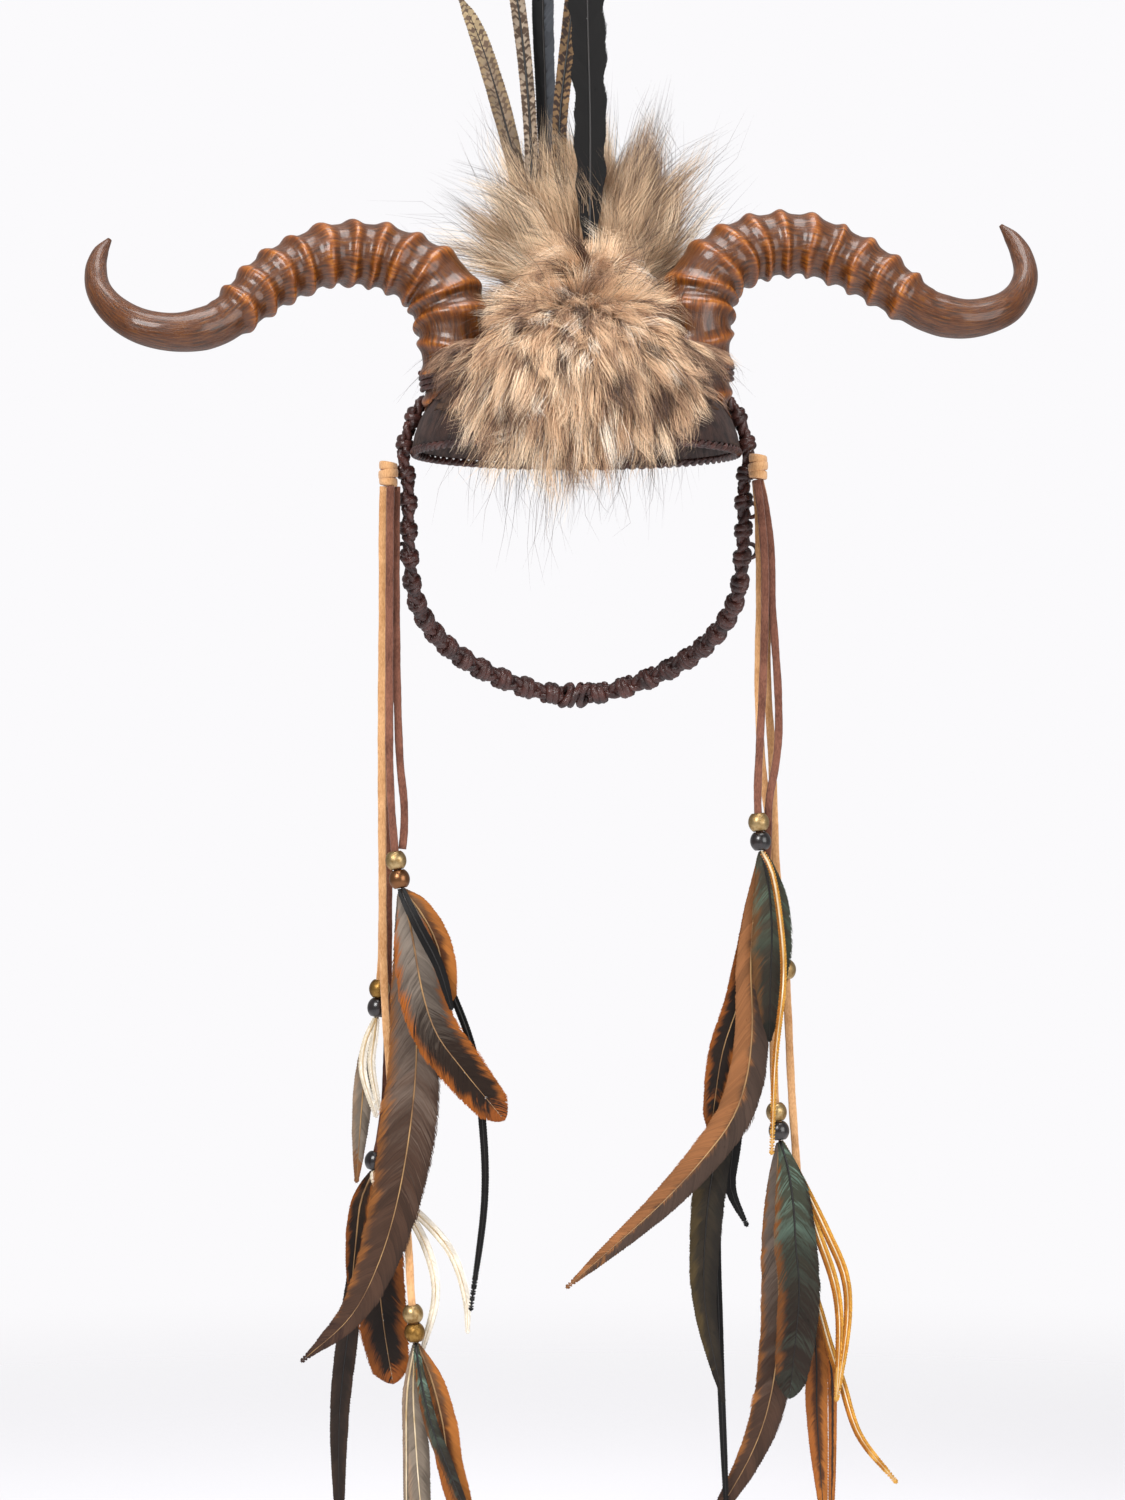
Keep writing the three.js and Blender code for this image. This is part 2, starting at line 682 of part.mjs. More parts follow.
function buildLace(lace) {
  const section = new THREE.Shape(Array.from({ length: laceSides }, (_, index) => {
    const angle = ((index + 0.5) / laceSides) * 2 * Math.PI;
    const corner = 1 / Math.cos(Math.PI / laceSides);
    return new THREE.Vector2(
      (laceThickness / 2) * corner * Math.cos(angle),
      (laceWidth / 2) * corner * Math.sin(angle),
    );
  }));
  const path = lacePath(lace);
  const steps = Math.ceil(path.getLength() / laceStep);
  return weld(new THREE.ExtrudeGeometry(section, { steps, extrudePath: path }));
}

// A bead threaded on a lace, with its middle at a distance from the lace's end
function buildBead(lace, fromEnd) {
  const path = lacePath(lace);
  const share = 1 - fromEnd / path.getLength();
  const radius = beadDiameter / 2;
  const half = beadHeight / 2;
  const profile = [
    new THREE.Vector2(beadBore / 2, -half),
    new THREE.Vector2(radius * beadShoulder, -half),
    new THREE.Vector2(radius, 0),
    new THREE.Vector2(radius * beadShoulder, half),
    new THREE.Vector2(beadBore / 2, half),
    new THREE.Vector2(beadBore / 2, -half),
  ];
  const geometry = weld(new THREE.LatheGeometry(profile, 10));
  const turn = new THREE.Quaternion().setFromUnitVectors(forward, path.getTangentAt(share));
  geometry.applyQuaternion(turn);
  const centre = path.getPointAt(share);
  geometry.translate(centre.x, centre.y, centre.z);
  return geometry;
}

// The knot that a side's laces hang from, beside its strap
const laceKnots = {
  lace_knot_left: { side: -1, out: 78.8, back: -0.4, bottom: -61.3, strap: 'strap_left' },
  lace_knot_right: { side: 1, out: 76.4, back: -1, bottom: -58.3, strap: 'strap_right' },
};

function buildLaceKnot({ side, out, back, bottom, strap }) {
  const half = laceKnotHeight / 2;
  const profile = [
    new THREE.Vector2(0, -half),
    new THREE.Vector2(0.86, -half),
    new THREE.Vector2(1, -half * 0.5),
    new THREE.Vector2(1, half * 0.4),
    new THREE.Vector2(0.7, half),
    new THREE.Vector2(0, half),
  ];
  const knot = weld(new THREE.LatheGeometry(profile, 10));
  knot.rotateX(Math.PI / 2);
  knot.scale(laceKnotWidth / 2, laceKnotDepth / 2, 1);
  knot.translate(side * out, back, bottom + half);
  return solidOf(knot).subtract(buildStrap(side, strapLoopPlaces[strap], gap));
}

// Hanging feathers. Each hangs from the end of a lace; layer sets it in front of (-) or behind (+)
// the others there; width is its full width and right the share of it on the right; run holds
// points aside and down as shares of the length.
const hangingFeathers = [
  {
    name: 'left_slim_black', lace: 'lace_left_brown', finish: 'black', layer: -2,
    vanes: [{
      outline: 'strip', length: 55, width: 5, right: 0.5,
      run: [[0.12, 0.25], [0.29, 0.58], [0.39, 0.91]],
    }],
  },
  {
    name: 'left_brown_leaf', lace: 'lace_left_brown', finish: 'brownOrange', layer: -1,
    vanes: [{
      outline: 'leaf', length: 108, width: 20, right: 0.5,
      run: [[0.035, 0.13], [0.09, 0.42], [0.14, 0.56], [0.235, 0.69], [0.4, 0.89]],
    }],
  },
  {
    name: 'left_orange_edge', lace: 'lace_left_brown', finish: 'orange', layer: 0,
    vanes: [{
      outline: 'leaf', length: 57, width: 12, right: 0.5,
      run: [[0.13, 0.15], [0.27, 0.42], [0.34, 0.85]],
    }],
  },
  {
    name: 'left_long_taupe', lace: 'lace_left_brown', finish: 'taupe', layer: 1,
    vanes: [{
      outline: 'blade', length: 212, width: 24, right: 0.46,
      run: [[0.02, 0.15], [0.03, 0.33], [0, 0.58], [-0.045, 0.74], [-0.1, 0.845], [-0.198, 0.935]],
    }],
  },
  {
    name: 'left_black_biot', lace: 'lace_left_brown', finish: 'black', layer: 2,
    vanes: [{
      outline: 'strip', length: 185, width: 2.4, right: 0.5,
      run: [[0.084, 0.17], [0.16, 0.363], [0.184, 0.544], [0.188, 0.703], [0.156, 0.96]],
    }],
  },
  {
    name: 'left_cream_biots', lace: 'lace_left_rear', finish: 'cream', layer: -1,
    vanes: [
      {
        outline: 'strip', length: 44, width: 2.4, right: 0.5,
        run: [[-0.1, 0.23], [-0.13, 0.5], [0, 0.95]],
      },
      {
        outline: 'strip', length: 42, width: 2.4, right: 0.5,
        run: [[-0.02, 0.2], [-0.05, 0.45], [0.03, 0.93]],
      },
    ],
  },
  {
    name: 'left_grey_leaf', lace: 'lace_left_rear', finish: 'grey', layer: 0,
    vanes: [{
      outline: 'blade', length: 71, width: 8, right: 0.5,
      run: [[-0.06, 0.25], [-0.09, 0.55], [-0.12, 0.98]],
    }],
  },
  {
    name: 'left_white_biots', lace: 'lace_left_low', finish: 'cream', layer: -2,
    vanes: [
      {
        outline: 'strip', length: 83, width: 3.2, right: 0.5,
        run: [[0.01, 0.05], [0.2, 0.19], [0.39, 0.4], [0.47, 0.63], [0.48, 0.816]],
      },
      {
        outline: 'strip', length: 85, width: 3.2, right: 0.5,
        run: [[0.01, 0.05], [0.18, 0.22], [0.28, 0.42], [0.31, 0.61], [0.24, 0.9]],
      },
    ],
  },
  {
    name: 'left_rear_brown', lace: 'lace_left_low', finish: 'brownOrange', layer: -1,
    vanes: [{
      outline: 'blade', length: 57, width: 9, right: 0.5,
      run: [[-0.09, 0.21], [-0.13, 0.52], [-0.17, 0.95]],
    }],
  },
  {
    name: 'left_dark_leaf', lace: 'lace_left_low', finish: 'brownOrange', layer: 0,
    vanes: [{
      outline: 'leaf', length: 91, width: 22, right: 0.5,
      run: [[0.014, 0.31], [0.03, 0.59], [0.06, 0.82], [0.09, 0.99]],
    }],
  },
  {
    name: 'left_dark_long', lace: 'lace_left_low', finish: 'darkBrown', layer: 1,
    vanes: [{
      outline: 'blade', length: 164, width: 9, right: 0.5,
      run: [[-0.033, 0.2], [-0.07, 0.44], [-0.09, 0.636], [-0.09, 0.99]],
    }],
  },
  {
    name: 'left_green_feather', lace: 'lace_left_tan', finish: 'green', layer: -1,
    vanes: [{
      outline: 'blade', length: 88, width: 5.4, right: 0.5,
      run: [[0.024, 0.16], [0.08, 0.4], [0.154, 0.587], [0.3, 0.95]],
    }],
  },
  {
    name: 'left_grey_quill', lace: 'lace_left_tan', finish: 'grey', layer: 0,
    vanes: [
      {
        outline: 'blade', length: 96, width: 11, right: 0.5,
        run: [[-0.01, 0.21], [0, 0.43], [0.02, 0.69], [0.055, 0.99]],
      },
      {
        outline: 'strip', length: 98, width: 1.6, right: 0.5,
        run: [[-0.035, 0.2], [-0.04, 0.49], [-0.038, 0.76], [-0.03, 0.99]],
      },
    ],
  },
  {
    name: 'left_orange_feather', lace: 'lace_left_tan', finish: 'orange', layer: 1,
    vanes: [{
      outline: 'leaf', length: 93, width: 11, right: 0.55,
      run: [[0.063, 0.15], [0.117, 0.35], [0.153, 0.577], [0.26, 0.95]],
    }],
  },
  {
    name: 'right_golden_quill', lace: 'lace_right_brown', finish: 'gold', layer: -2,
    vanes: [{
      outline: 'strip', length: 127, width: 1.5, right: 0.5,
      run: [[0.03, 0.06], [0.06, 0.234], [0.07, 0.41], [0.043, 0.677], [0.03, 0.99]],
    }],
  },
  {
    name: 'right_dark_leaf', lace: 'lace_right_brown', finish: 'green', layer: -1,
    vanes: [{
      outline: 'blade', length: 80, width: 17, right: 0.5,
      run: [[0.04, 0.21], [0.053, 0.42], [0.047, 0.63], [0.04, 0.99]],
    }],
  },
  {
    name: 'right_long_tan', lace: 'lace_right_brown', finish: 'tanOrange', layer: 0,
    vanes: [{
      outline: 'blade', length: 213, width: 15.5, right: 0.5,
      run: [[-0.02, 0.2], [-0.018, 0.37], [-0.04, 0.51], [-0.1, 0.59], [-0.185, 0.68], [-0.382, 0.856]],
    }],
  },
  {
    name: 'right_rear_dark', lace: 'lace_right_brown', finish: 'brownOrange', layer: 1,
    vanes: [{
      outline: 'leaf', length: 120, width: 12, right: 0.5,
      run: [[-0.028, 0.28], [-0.077, 0.526], [-0.133, 0.7], [-0.175, 0.98]],
    }],
  },
  {
    name: 'right_olive_long', lace: 'lace_right_brown_second', finish: 'olive', layer: -1,
    vanes: [{
      outline: 'blade', length: 167, width: 14, right: 0.5,
      run: [[-0.04, 0.176], [-0.09, 0.35], [-0.116, 0.528], [-0.12, 0.729], [-0.073, 0.98]],
    }],
  },
  {
    name: 'right_black_biot', lace: 'lace_right_brown_second', finish: 'black', layer: 1,
    vanes: [
      {
        outline: 'strip', length: 224, width: 2.6, right: 0.5,
        run: [[-0.022, 0.13], [-0.047, 0.265], [-0.064, 0.385], [-0.06, 0.623], [-0.045, 0.99]],
      },
      {
        outline: 'blade', length: 94, width: 7, right: 0.5,
        run: [[-0.045, 0.31], [-0.085, 0.625], [-0.094, 0.8], [-0.02, 0.97]],
      },
    ],
  },
  {
    name: 'right_green_leaf', lace: 'lace_right_tan_second', finish: 'green', layer: -1,
    vanes: [{
      outline: 'leaf', length: 109, width: 18, right: 0.5,
      run: [[0.027, 0.09], [0.05, 0.24], [0.06, 0.4], [0.073, 0.573], [0.035, 0.99]],
    }],
  },
  {
    name: 'right_orange_biots', lace: 'lace_right_tan_second', finish: 'gold', layer: 0,
    vanes: [
      {
        outline: 'strip', length: 114, width: 3, right: 0.5,
        run: [[0.063, 0.126], [0.133, 0.326], [0.2, 0.52], [0.22, 0.656], [0.21, 0.963]],
      },
      {
        outline: 'strip', length: 115, width: 3, right: 0.5,
        run: [[0.095, 0.18], [0.175, 0.343], [0.237, 0.493], [0.25, 0.624], [0.21, 0.945]],
      },
    ],
  },
  {
    name: 'right_grey_long', lace: 'lace_right_tan_second', finish: 'taupe', layer: 1,
    vanes: [{
      outline: 'blade', length: 177, width: 16, right: 0.5,
      run: [[-0.007, 0.14], [-0.002, 0.47], [-0.026, 0.637], [-0.069, 0.756], [-0.187, 0.957]],
    }],
  },
  {
    name: 'right_yellow_biot', lace: 'lace_right_tan', finish: 'gold', layer: -1,
    vanes: [{
      outline: 'strip', length: 105, width: 2.8, right: 0.5,
      run: [[0.064, 0.19], [0.11, 0.35], [0.16, 0.5], [0.23, 0.71], [0.38, 0.9]],
    }],
  },
  {
    name: 'right_orange_feather', lace: 'lace_right_tan', finish: 'orange', layer: 1,
    vanes: [
      {
        outline: 'blade', length: 117, width: 9.5, right: 0.5,
        run: [[0.032, 0.17], [0.054, 0.35], [0.057, 0.566], [0.086, 0.99]],
      },
      {
        outline: 'strip', length: 120, width: 2.8, right: 0.5,
        run: [[0.035, 0.12], [0.077, 0.25], [0.105, 0.383], [0.111, 0.606], [0.105, 0.98]],
      },
    ],
  },
];

function hangingPath(lace, layer, { length, run }) {
  const end = lacePath(lace).getPointAt(1);
  const points = [[0, 0], ...run].map(([aside, down], index) => {
    const fall = down * length;
    const spread = Math.min(1, fall / beadDiameter / 2);
    const pitch = THREE.MathUtils.lerp(quillPitch, layerPitch, spread);
    const back = layer * (pitch + fanShare * fall);
    return new THREE.Vector3(end.x + aside * length, end.y + back, end.z - gap - fall);
  });
  return new THREE.CatmullRomCurve3(points);
}

function buildHangingFeather({ lace: laceName, layer, vanes }) {
  const lace = laces.find((each) => each.name === laceName);
  const solids = vanes.map((each) => solidOf(vane({
    path: hangingPath(lace, layer, each),
    width: each.width,
    right: each.right,
    outline: each.outline,
    quill: quillDiameter,
    thickness: vaneThickness,
    facing: forward,
    steps: 8,
  })));
  return geometryOf(solids.reduce((sum, each) => sum.add(each)));
}

// Finishes, from the colours of the real materials
const finishes = {
  horn: { color: '#6b3d1c', roughness: 0.32 },
  leather: { color: '#35201b', roughness: 0.5 },
  fur: { color: '#bb9a78', roughness: 0.95 },
  suedeTan: { color: '#c4945a', roughness: 0.92 },
  suedeBrown: { color: '#6b4433', roughness: 0.92 },
  brass: { color: '#9a7a48', roughness: 0.36, metalness: 1 },
  brassDark: { color: '#6e5632', roughness: 0.42, metalness: 1 },
  copper: { color: '#7a5230', roughness: 0.4, metalness: 1 },
  blackWood: { color: '#17120f', roughness: 0.3 },
  black: { color: '#15110f', roughness: 0.5 },
  blackGrey: { color: '#3a3c42', roughness: 0.6 },
  barredDark: { color: '#6f6455', roughness: 0.7 },
  barredTan: { color: '#c6a27a', roughness: 0.75 },
  barredGold: { color: '#a9814a', roughness: 0.7 },
  brownOrange: { color: '#5a3a22', roughness: 0.6 },
  darkBrown: { color: '#3a2a20', roughness: 0.6 },
  orange: { color: '#b5651f', roughness: 0.65 },
  tanOrange: { color: '#a8703a', roughness: 0.65 },
  taupe: { color: '#6a5848', roughness: 0.65 },
  grey: { color: '#6d675f', roughness: 0.65 },
  olive: { color: '#4d4430', roughness: 0.6 },
  green: { color: '#3e6a56', roughness: 0.4 },
  cream: { color: '#ede6d6', roughness: 0.55 },
  gold: { color: '#c98a2b', roughness: 0.45 },
};

const headdress = new THREE.Group();
headdress.name = 'feathered_headdress';

headdress.add(piece('cap', buildCap(), finishes.leather));
for (const [name, set] of Object.entries(hornSets)) {
  headdress.add(piece(name, geometryOf(buildHorn(set).subtract(headForm())), finishes.horn));
}
headdress.add(piece('fur_front', geometryOf(buildFurFront()), finishes.fur));
headdress.add(piece('fur_ruff', geometryOf(buildRuff()), finishes.fur));
for (const row of tallFeathers) {
  headdress.add(piece(row.name, buildTallFeather(row), finishes[row.finish]));
}

const leftStrap = buildStrap(-1, strapLoopPlaces.strap_left).subtract(buildNapeKnot(gap));
const rightStrap = buildStrap(1, strapLoopPlaces.strap_right).add(buildNapeKnot());
headdress.add(piece('strap_left', geometryOf(leftStrap), finishes.leather));
headdress.add(piece('strap_right', geometryOf(rightStrap), finishes.leather));

for (const [name, knot] of Object.entries(laceKnots)) {
  headdress.add(piece(name, geometryOf(buildLaceKnot(knot)), finishes.suedeTan));
}
for (const lace of laces) {
  headdress.add(piece(lace.name, buildLace(lace), finishes[lace.finish]));
  const pitch = beadHeight + gap;
  lace.beads.forEach((finish, index) => {
    const fromEnd = beadHeight / 2 + (lace.beads.length - 1 - index) * pitch;
    const place = ['_upper', '_lower'][index];
    const name = lace.name.replace('lace', 'bead') + (lace.beads.length > 1 ? place : '');
    headdress.add(piece(name, buildBead(lace, fromEnd), finishes[finish]));
  });
  if (lace.passing) {
    const fromEnd = (1 - lace.passing.at) * lacePath(lace).getLength();
    const name = lace.name.replace('lace', 'bead');
    headdress.add(piece(name, buildBead(lace, fromEnd), finishes[lace.passing.finish]));
  }
}
for (const row of hangingFeathers) {
  headdress.add(piece(row.name, buildHangingFeather(row), finishes[row.finish]));
}

export default headdress;
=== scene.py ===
"""Looks of the feathered headdress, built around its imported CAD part.

Every piece is in metres in the part's own frame: +Z up, the front faces -Y, and the origin is the
crown of the head. Sizes are written in millimetres, as they are in the part, and turned to metres
where a mesh is made.
"""

import json
import logging
import math
from collections.abc import Callable
from dataclasses import dataclass
from enum import Enum

import bmesh
import bpy
import numpy as np
from mathutils import Matrix, Vector

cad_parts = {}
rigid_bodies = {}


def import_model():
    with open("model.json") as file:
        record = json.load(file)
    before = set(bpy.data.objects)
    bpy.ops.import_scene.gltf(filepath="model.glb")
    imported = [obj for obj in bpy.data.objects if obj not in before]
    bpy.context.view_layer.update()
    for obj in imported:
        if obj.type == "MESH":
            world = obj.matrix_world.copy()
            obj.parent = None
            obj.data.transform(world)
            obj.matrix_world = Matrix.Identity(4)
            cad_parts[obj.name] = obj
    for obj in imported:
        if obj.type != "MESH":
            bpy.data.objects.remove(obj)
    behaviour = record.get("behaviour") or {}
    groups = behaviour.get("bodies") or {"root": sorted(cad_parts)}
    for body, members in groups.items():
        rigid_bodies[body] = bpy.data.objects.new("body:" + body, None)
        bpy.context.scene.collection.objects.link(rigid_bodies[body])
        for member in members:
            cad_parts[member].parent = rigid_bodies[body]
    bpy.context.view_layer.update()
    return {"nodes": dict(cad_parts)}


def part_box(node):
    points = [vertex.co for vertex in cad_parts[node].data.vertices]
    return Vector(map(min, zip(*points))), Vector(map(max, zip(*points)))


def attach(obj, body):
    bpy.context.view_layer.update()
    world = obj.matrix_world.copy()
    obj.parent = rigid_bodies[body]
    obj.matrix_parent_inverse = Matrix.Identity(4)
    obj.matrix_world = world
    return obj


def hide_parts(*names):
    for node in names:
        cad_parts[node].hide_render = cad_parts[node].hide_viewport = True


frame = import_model()

logging.basicConfig(level=logging.INFO, format="%(message)s")
log = logging.getLogger("headdress")

MM = 0.001
GAP = 0.3
FORWARD = np.array((0.0, -1.0, 0.0))
BACKWARD = np.array((0.0, 1.0, 0.0))
UP = np.array((0.0, 0.0, 1.0))
LEVEL = np.array((1.0, 1.0, 0.0))
EDGE_SOFTNESS = 0.04
TIP_ROUND = 0.06
Socket = bpy.types.NodeSocket
Facing = Callable[[np.ndarray], np.ndarray]
Section = Callable[[np.ndarray], tuple[np.ndarray, np.ndarray]]


def linear(hex_colour: str) -> tuple[float, float, float, float]:
    """Turns an sRGB hex colour to linear light.

    Args:
        hex_colour: A colour such as "#8a5a2b".

    Returns:
        Red, green, blue and an alpha of one.
    """
    values = [int(hex_colour[place:place + 2], 16) / 255 for place in (1, 3, 5)]
    red, green, blue = (v / 12.92 if v <= 0.04045 else ((v + 0.055) / 1.055) ** 2.4 for v in values)
    return red, green, blue, 1.0


def fill(tree: bpy.types.NodeTree, node: bpy.types.Node, inputs: dict) -> None:
    """Gives sockets of a node, by name or place, each a value or the socket that feeds it."""
    for key, value in inputs.items():
        if isinstance(value, Socket):
            tree.links.new(value, node.inputs[key])
        else:
            node.inputs[key].default_value = value


def add_node(tree: bpy.types.NodeTree, kind: str, settings: dict | None = None,
             inputs: dict | None = None, stops: tuple = ()) -> bpy.types.Node:
    """Adds a shader node with its settings, values and links.

    Args:
        tree: The node tree of a material.
        kind: The node's type.
        settings: Properties of the node and their values.
        inputs: Sockets by name or place, each with a value or with the socket that feeds it.
        stops: For a colour ramp, its places and hex colours.

    Returns:
        The new node.
    """
    node = tree.nodes.new(kind)
    for name, value in (settings or {}).items():
        setattr(node, name, value)
    fill(tree, node, inputs or {})
    for index, (place, colour) in enumerate(stops):
        elements = node.color_ramp.elements
        element = elements[index] if index < len(elements) else elements.new(place)
        element.position = place
        element.color = linear(colour)
    return node


class Route:
    """A centripetal Catmull-Rom curve through chosen points, measured along its length."""

    samples = 40

    def __init__(self, points: np.ndarray) -> None:
        """Samples the curve.

        Args:
            points: Rows of X, Y and Z in millimetres.
        """
        knots = np.asarray(points, float)
        padded = np.vstack((2 * knots[0] - knots[1], knots, 2 * knots[-1] - knots[-2]))
        rows = [self._span(padded[i:i + 4], i == len(knots) - 2) for i in range(len(knots) - 1)]
        self.points = np.vstack(rows)
        steps = np.linalg.norm(np.diff(self.points, axis=0), axis=1)
        self.along = np.concatenate(([0.0], np.cumsum(steps)))
        self.length = float(self.along[-1])
        spans = np.linspace(0, 1, len(self.points))
        self._place = spans * (len(knots) - 1)

    def _span(self, four: np.ndarray, last: bool) -> np.ndarray:
        """Samples the curve between the middle two of four points."""
        gaps = np.sqrt(np.linalg.norm(np.diff(four, axis=0), axis=1))
        before, within, after = (max(gap, 1e-4) for gap in gaps)
        a, b, c, d = four
        leave = ((b - a) / before - (c - a) / (before + within) + (c - b) / within) * within
        arrive = ((c - b) / within - (d - b) / (within + after) + (d - c) / after) * within
        t = np.linspace(0, 1, self.samples + 1)[:, None]
        square = (3 * (c - b) - 2 * leave - arrive) * t**2
        cube = (2 * (b - c) + leave + arrive) * t**3
        curve = b + leave * t + square + cube
        return curve if last else curve[:-1]

    def at(self, along: np.ndarray) -> tuple[np.ndarray, np.ndarray]:
        """Finds points and directions on the curve.

        Args:
            along: Distances from the start in millimetres; past an end the curve runs on straight.

        Returns:
            The points and the unit tangents there.
        """
        along = np.asarray(along, float)
        held = np.clip(along, 0, self.length)
        step = self.length * 0.002 + 0.02
        here = self._locate(held)
        ahead, behind = (np.clip(held + way, 0, self.length) for way in (step, -step))
        tangent = self._locate(ahead) - self._locate(behind)
        tangent /= np.linalg.norm(tangent, axis=-1, keepdims=True)
        return here + tangent * (along - held)[..., None], tangent

    def _locate(self, along: np.ndarray) -> np.ndarray:
        """Points at distances inside the curve's length."""
        return np.stack([np.interp(along, self.along, self.points[:, axis]) for axis in range(3)], axis=-1)

    def row_place(self, along: np.ndarray) -> np.ndarray:
        """Place in the list of chosen points, as a number with a fraction, at distances along the curve."""
        return np.interp(along, self.along, self._place)


def sides_of(tangent: np.ndarray, facing: np.ndarray) -> tuple[np.ndarray, np.ndarray]:
    """Works out a section's own directions.

    Args:
        tangent: Unit directions of the path.
        facing: The way that the section's front looks.

    Returns:
        Unit vectors to the section's side and to its front.
    """
    front = facing - tangent * np.sum(facing * tangent, axis=-1, keepdims=True)
    front /= np.linalg.norm(front, axis=-1, keepdims=True)
    return np.cross(front, tangent), front


def finish_piece(piece: bpy.types.Object, look: "Look", replaced: tuple[str, ...] = ()) -> bpy.types.Object:
    """Dresses a piece, lets it ride on the part and hides the CAD nodes that it stands for.

    Args:
        piece: The new object.
        look: Its finish.
        replaced: CAD nodes that it stands for.

    Returns:
        The piece.
    """
    piece.data.materials.clear()
    piece.data.materials.append(look.material())
    piece.data.polygons.foreach_set("use_smooth", np.ones(len(piece.data.polygons), bool))
    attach(piece, "root")
    if replaced:
        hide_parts(*replaced)
    return piece


def from_bmesh(name: str, mesh: bmesh.types.BMesh) -> bpy.types.Object:
    """Turns a bmesh in metres to an object at the origin."""
    data = bpy.data.meshes.new(name)
    mesh.to_mesh(data)
    mesh.free()
    piece = bpy.data.objects.new(name, data)
    bpy.context.scene.collection.objects.link(piece)
    return piece


@dataclass
class Loft:
    """A tube whose section changes along a route."""

    route: Route
    stations: np.ndarray
    halves: Section
    facing: Facing
    sides: int
    squareness: float = 1.0

    def into(self, mesh: bmesh.types.BMesh) -> dict[bmesh.types.BMVert, tuple[int, float]]:
        """Extrudes the section from station to station into a bmesh, and closes its ends.

        Args:
            mesh: The bmesh, in metres, with a UV layer named "along": turns around, mm along.

        Returns:
            Each new corner's side and its distance along the route.
        """
        layer = mesh.loops.layers.uv.get("along") or mesh.loops.layers.uv.new("along")
        points, tangents = self.route.at(self.stations)
        across, fronts = sides_of(tangents, self.facing(points))
        wide, deep = (half if half.ndim == 2 else half[:, None] for half in self.halves(self.stations))
        angles = np.arange(self.sides) / self.sides * 2 * math.pi
        squared = 1 / self.squareness
        x = np.sign(np.cos(angles)) * np.abs(np.cos(angles)) ** squared
        y = np.sign(np.sin(angles)) * np.abs(np.sin(angles)) ** squared
        rings = (points[:, None] + across[:, None] * (wide * x)[..., None]
                 + fronts[:, None] * (deep * y)[..., None]) * MM
        start = bmesh.ops.create_circle(mesh, cap_ends=False, radius=1, segments=self.sides)["verts"]
        ring = self._set(start, rings[0])
        first = ring
        ends = [mesh.edges.get((ring[k - 1], ring[k])) for k in range(self.sides)]
        places = {corner: (k, float(self.stations[0])) for k, corner in enumerate(ring)}
        faces = []
        for station, places_now in zip(self.stations[1:], rings[1:]):
            made = bmesh.ops.extrude_edge_only(mesh, edges=ends)["geom"]
            faces += [item for item in made if isinstance(item, bmesh.types.BMFace)]
            ring = self._next(ring, made)
            self._set(ring, places_now)
            places.update({corner: (k, float(station)) for k, corner in enumerate(ring)})
            ends = [mesh.edges.get((ring[k - 1], ring[k])) for k in range(self.sides)]
        caps = [mesh.faces.new(first), mesh.faces.new(reversed(ring))]
        bmesh.ops.recalc_face_normals(mesh, faces=faces + caps)
        for face in faces:
            wraps = {places[corner][0] for corner in face.verts} >= {0, self.sides - 1}
            for loop in face.loops:
                k, station = places[loop.vert]
                turn = 1.0 if wraps and k == 0 else k / self.sides
                loop[layer].uv = (turn, station)
        return places

    @staticmethod
    def _set(ring: list, places: np.ndarray) -> list:
        """Moves a ring's corners to their places."""
        for corner, place in zip(ring, places):
            corner.co = place
        return list(ring)

    @staticmethod
    def _next(ring: list, made: list) -> list:
        """Puts the new corners of an extrusion in the order of the old ring."""
        old = set(ring)
        partner = {}
        for item in made:
            if isinstance(item, bmesh.types.BMVert):
                for edge in item.link_edges:
                    other = edge.other_vert(item)
                    if other in old:
                        partner[other] = item
        return [partner[corner] for corner in ring]


def steady(direction: np.ndarray) -> Facing:
    """A facing that is the same all along a route."""
    return lambda points: np.broadcast_to(direction, points.shape)


def away_from(centre: np.ndarray) -> Facing:
    """A facing that looks level away from a point."""
    def facing(points: np.ndarray) -> np.ndarray:
        """Unit directions at the points."""
        flat = (points - centre) * LEVEL
        return flat / np.linalg.norm(flat, axis=-1, keepdims=True)
    return facing


away_from_head = away_from(np.zeros(3))


def even(wide: float, deep: float | None = None) -> Section:
    """A section that is the same all along a route: half its width, and half its depth if it differs."""
    deep = wide if deep is None else deep
    return lambda along: (np.full(along.shape, wide), np.full(along.shape, deep))


def turned(profile: list[tuple[float, float]], steps: int, closed: bool, merge: float) -> bmesh.types.BMesh:
    """Spins a profile round the upright axis.

    Args:
        profile: Radius and height of each corner, in millimetres.
        steps: How many stretches the round has.
        closed: Whether the profile's last corner joins its first one.
        merge: Corners nearer to each other than this, in millimetres, become one.

    Returns:
        The spun form, in metres.
    """
    mesh = bmesh.new()
    corners = [mesh.verts.new((radius * MM, 0, height * MM)) for radius, height in profile]
    joined = zip(corners, corners[1:] + corners[:1]) if closed else zip(corners, corners[1:])
    edges = [mesh.edges.new(pair) for pair in joined]
    bmesh.ops.spin(mesh, geom=corners + edges, cent=(0, 0, 0), axis=(0, 0, 1), dvec=(0, 0, 0),
                   angle=2 * math.pi, steps=steps, use_merge=True, use_duplicate=False)
    bmesh.ops.remove_doubles(mesh, verts=mesh.verts, dist=merge * MM)
    bmesh.ops.recalc_face_normals(mesh, faces=mesh.faces)
    return mesh


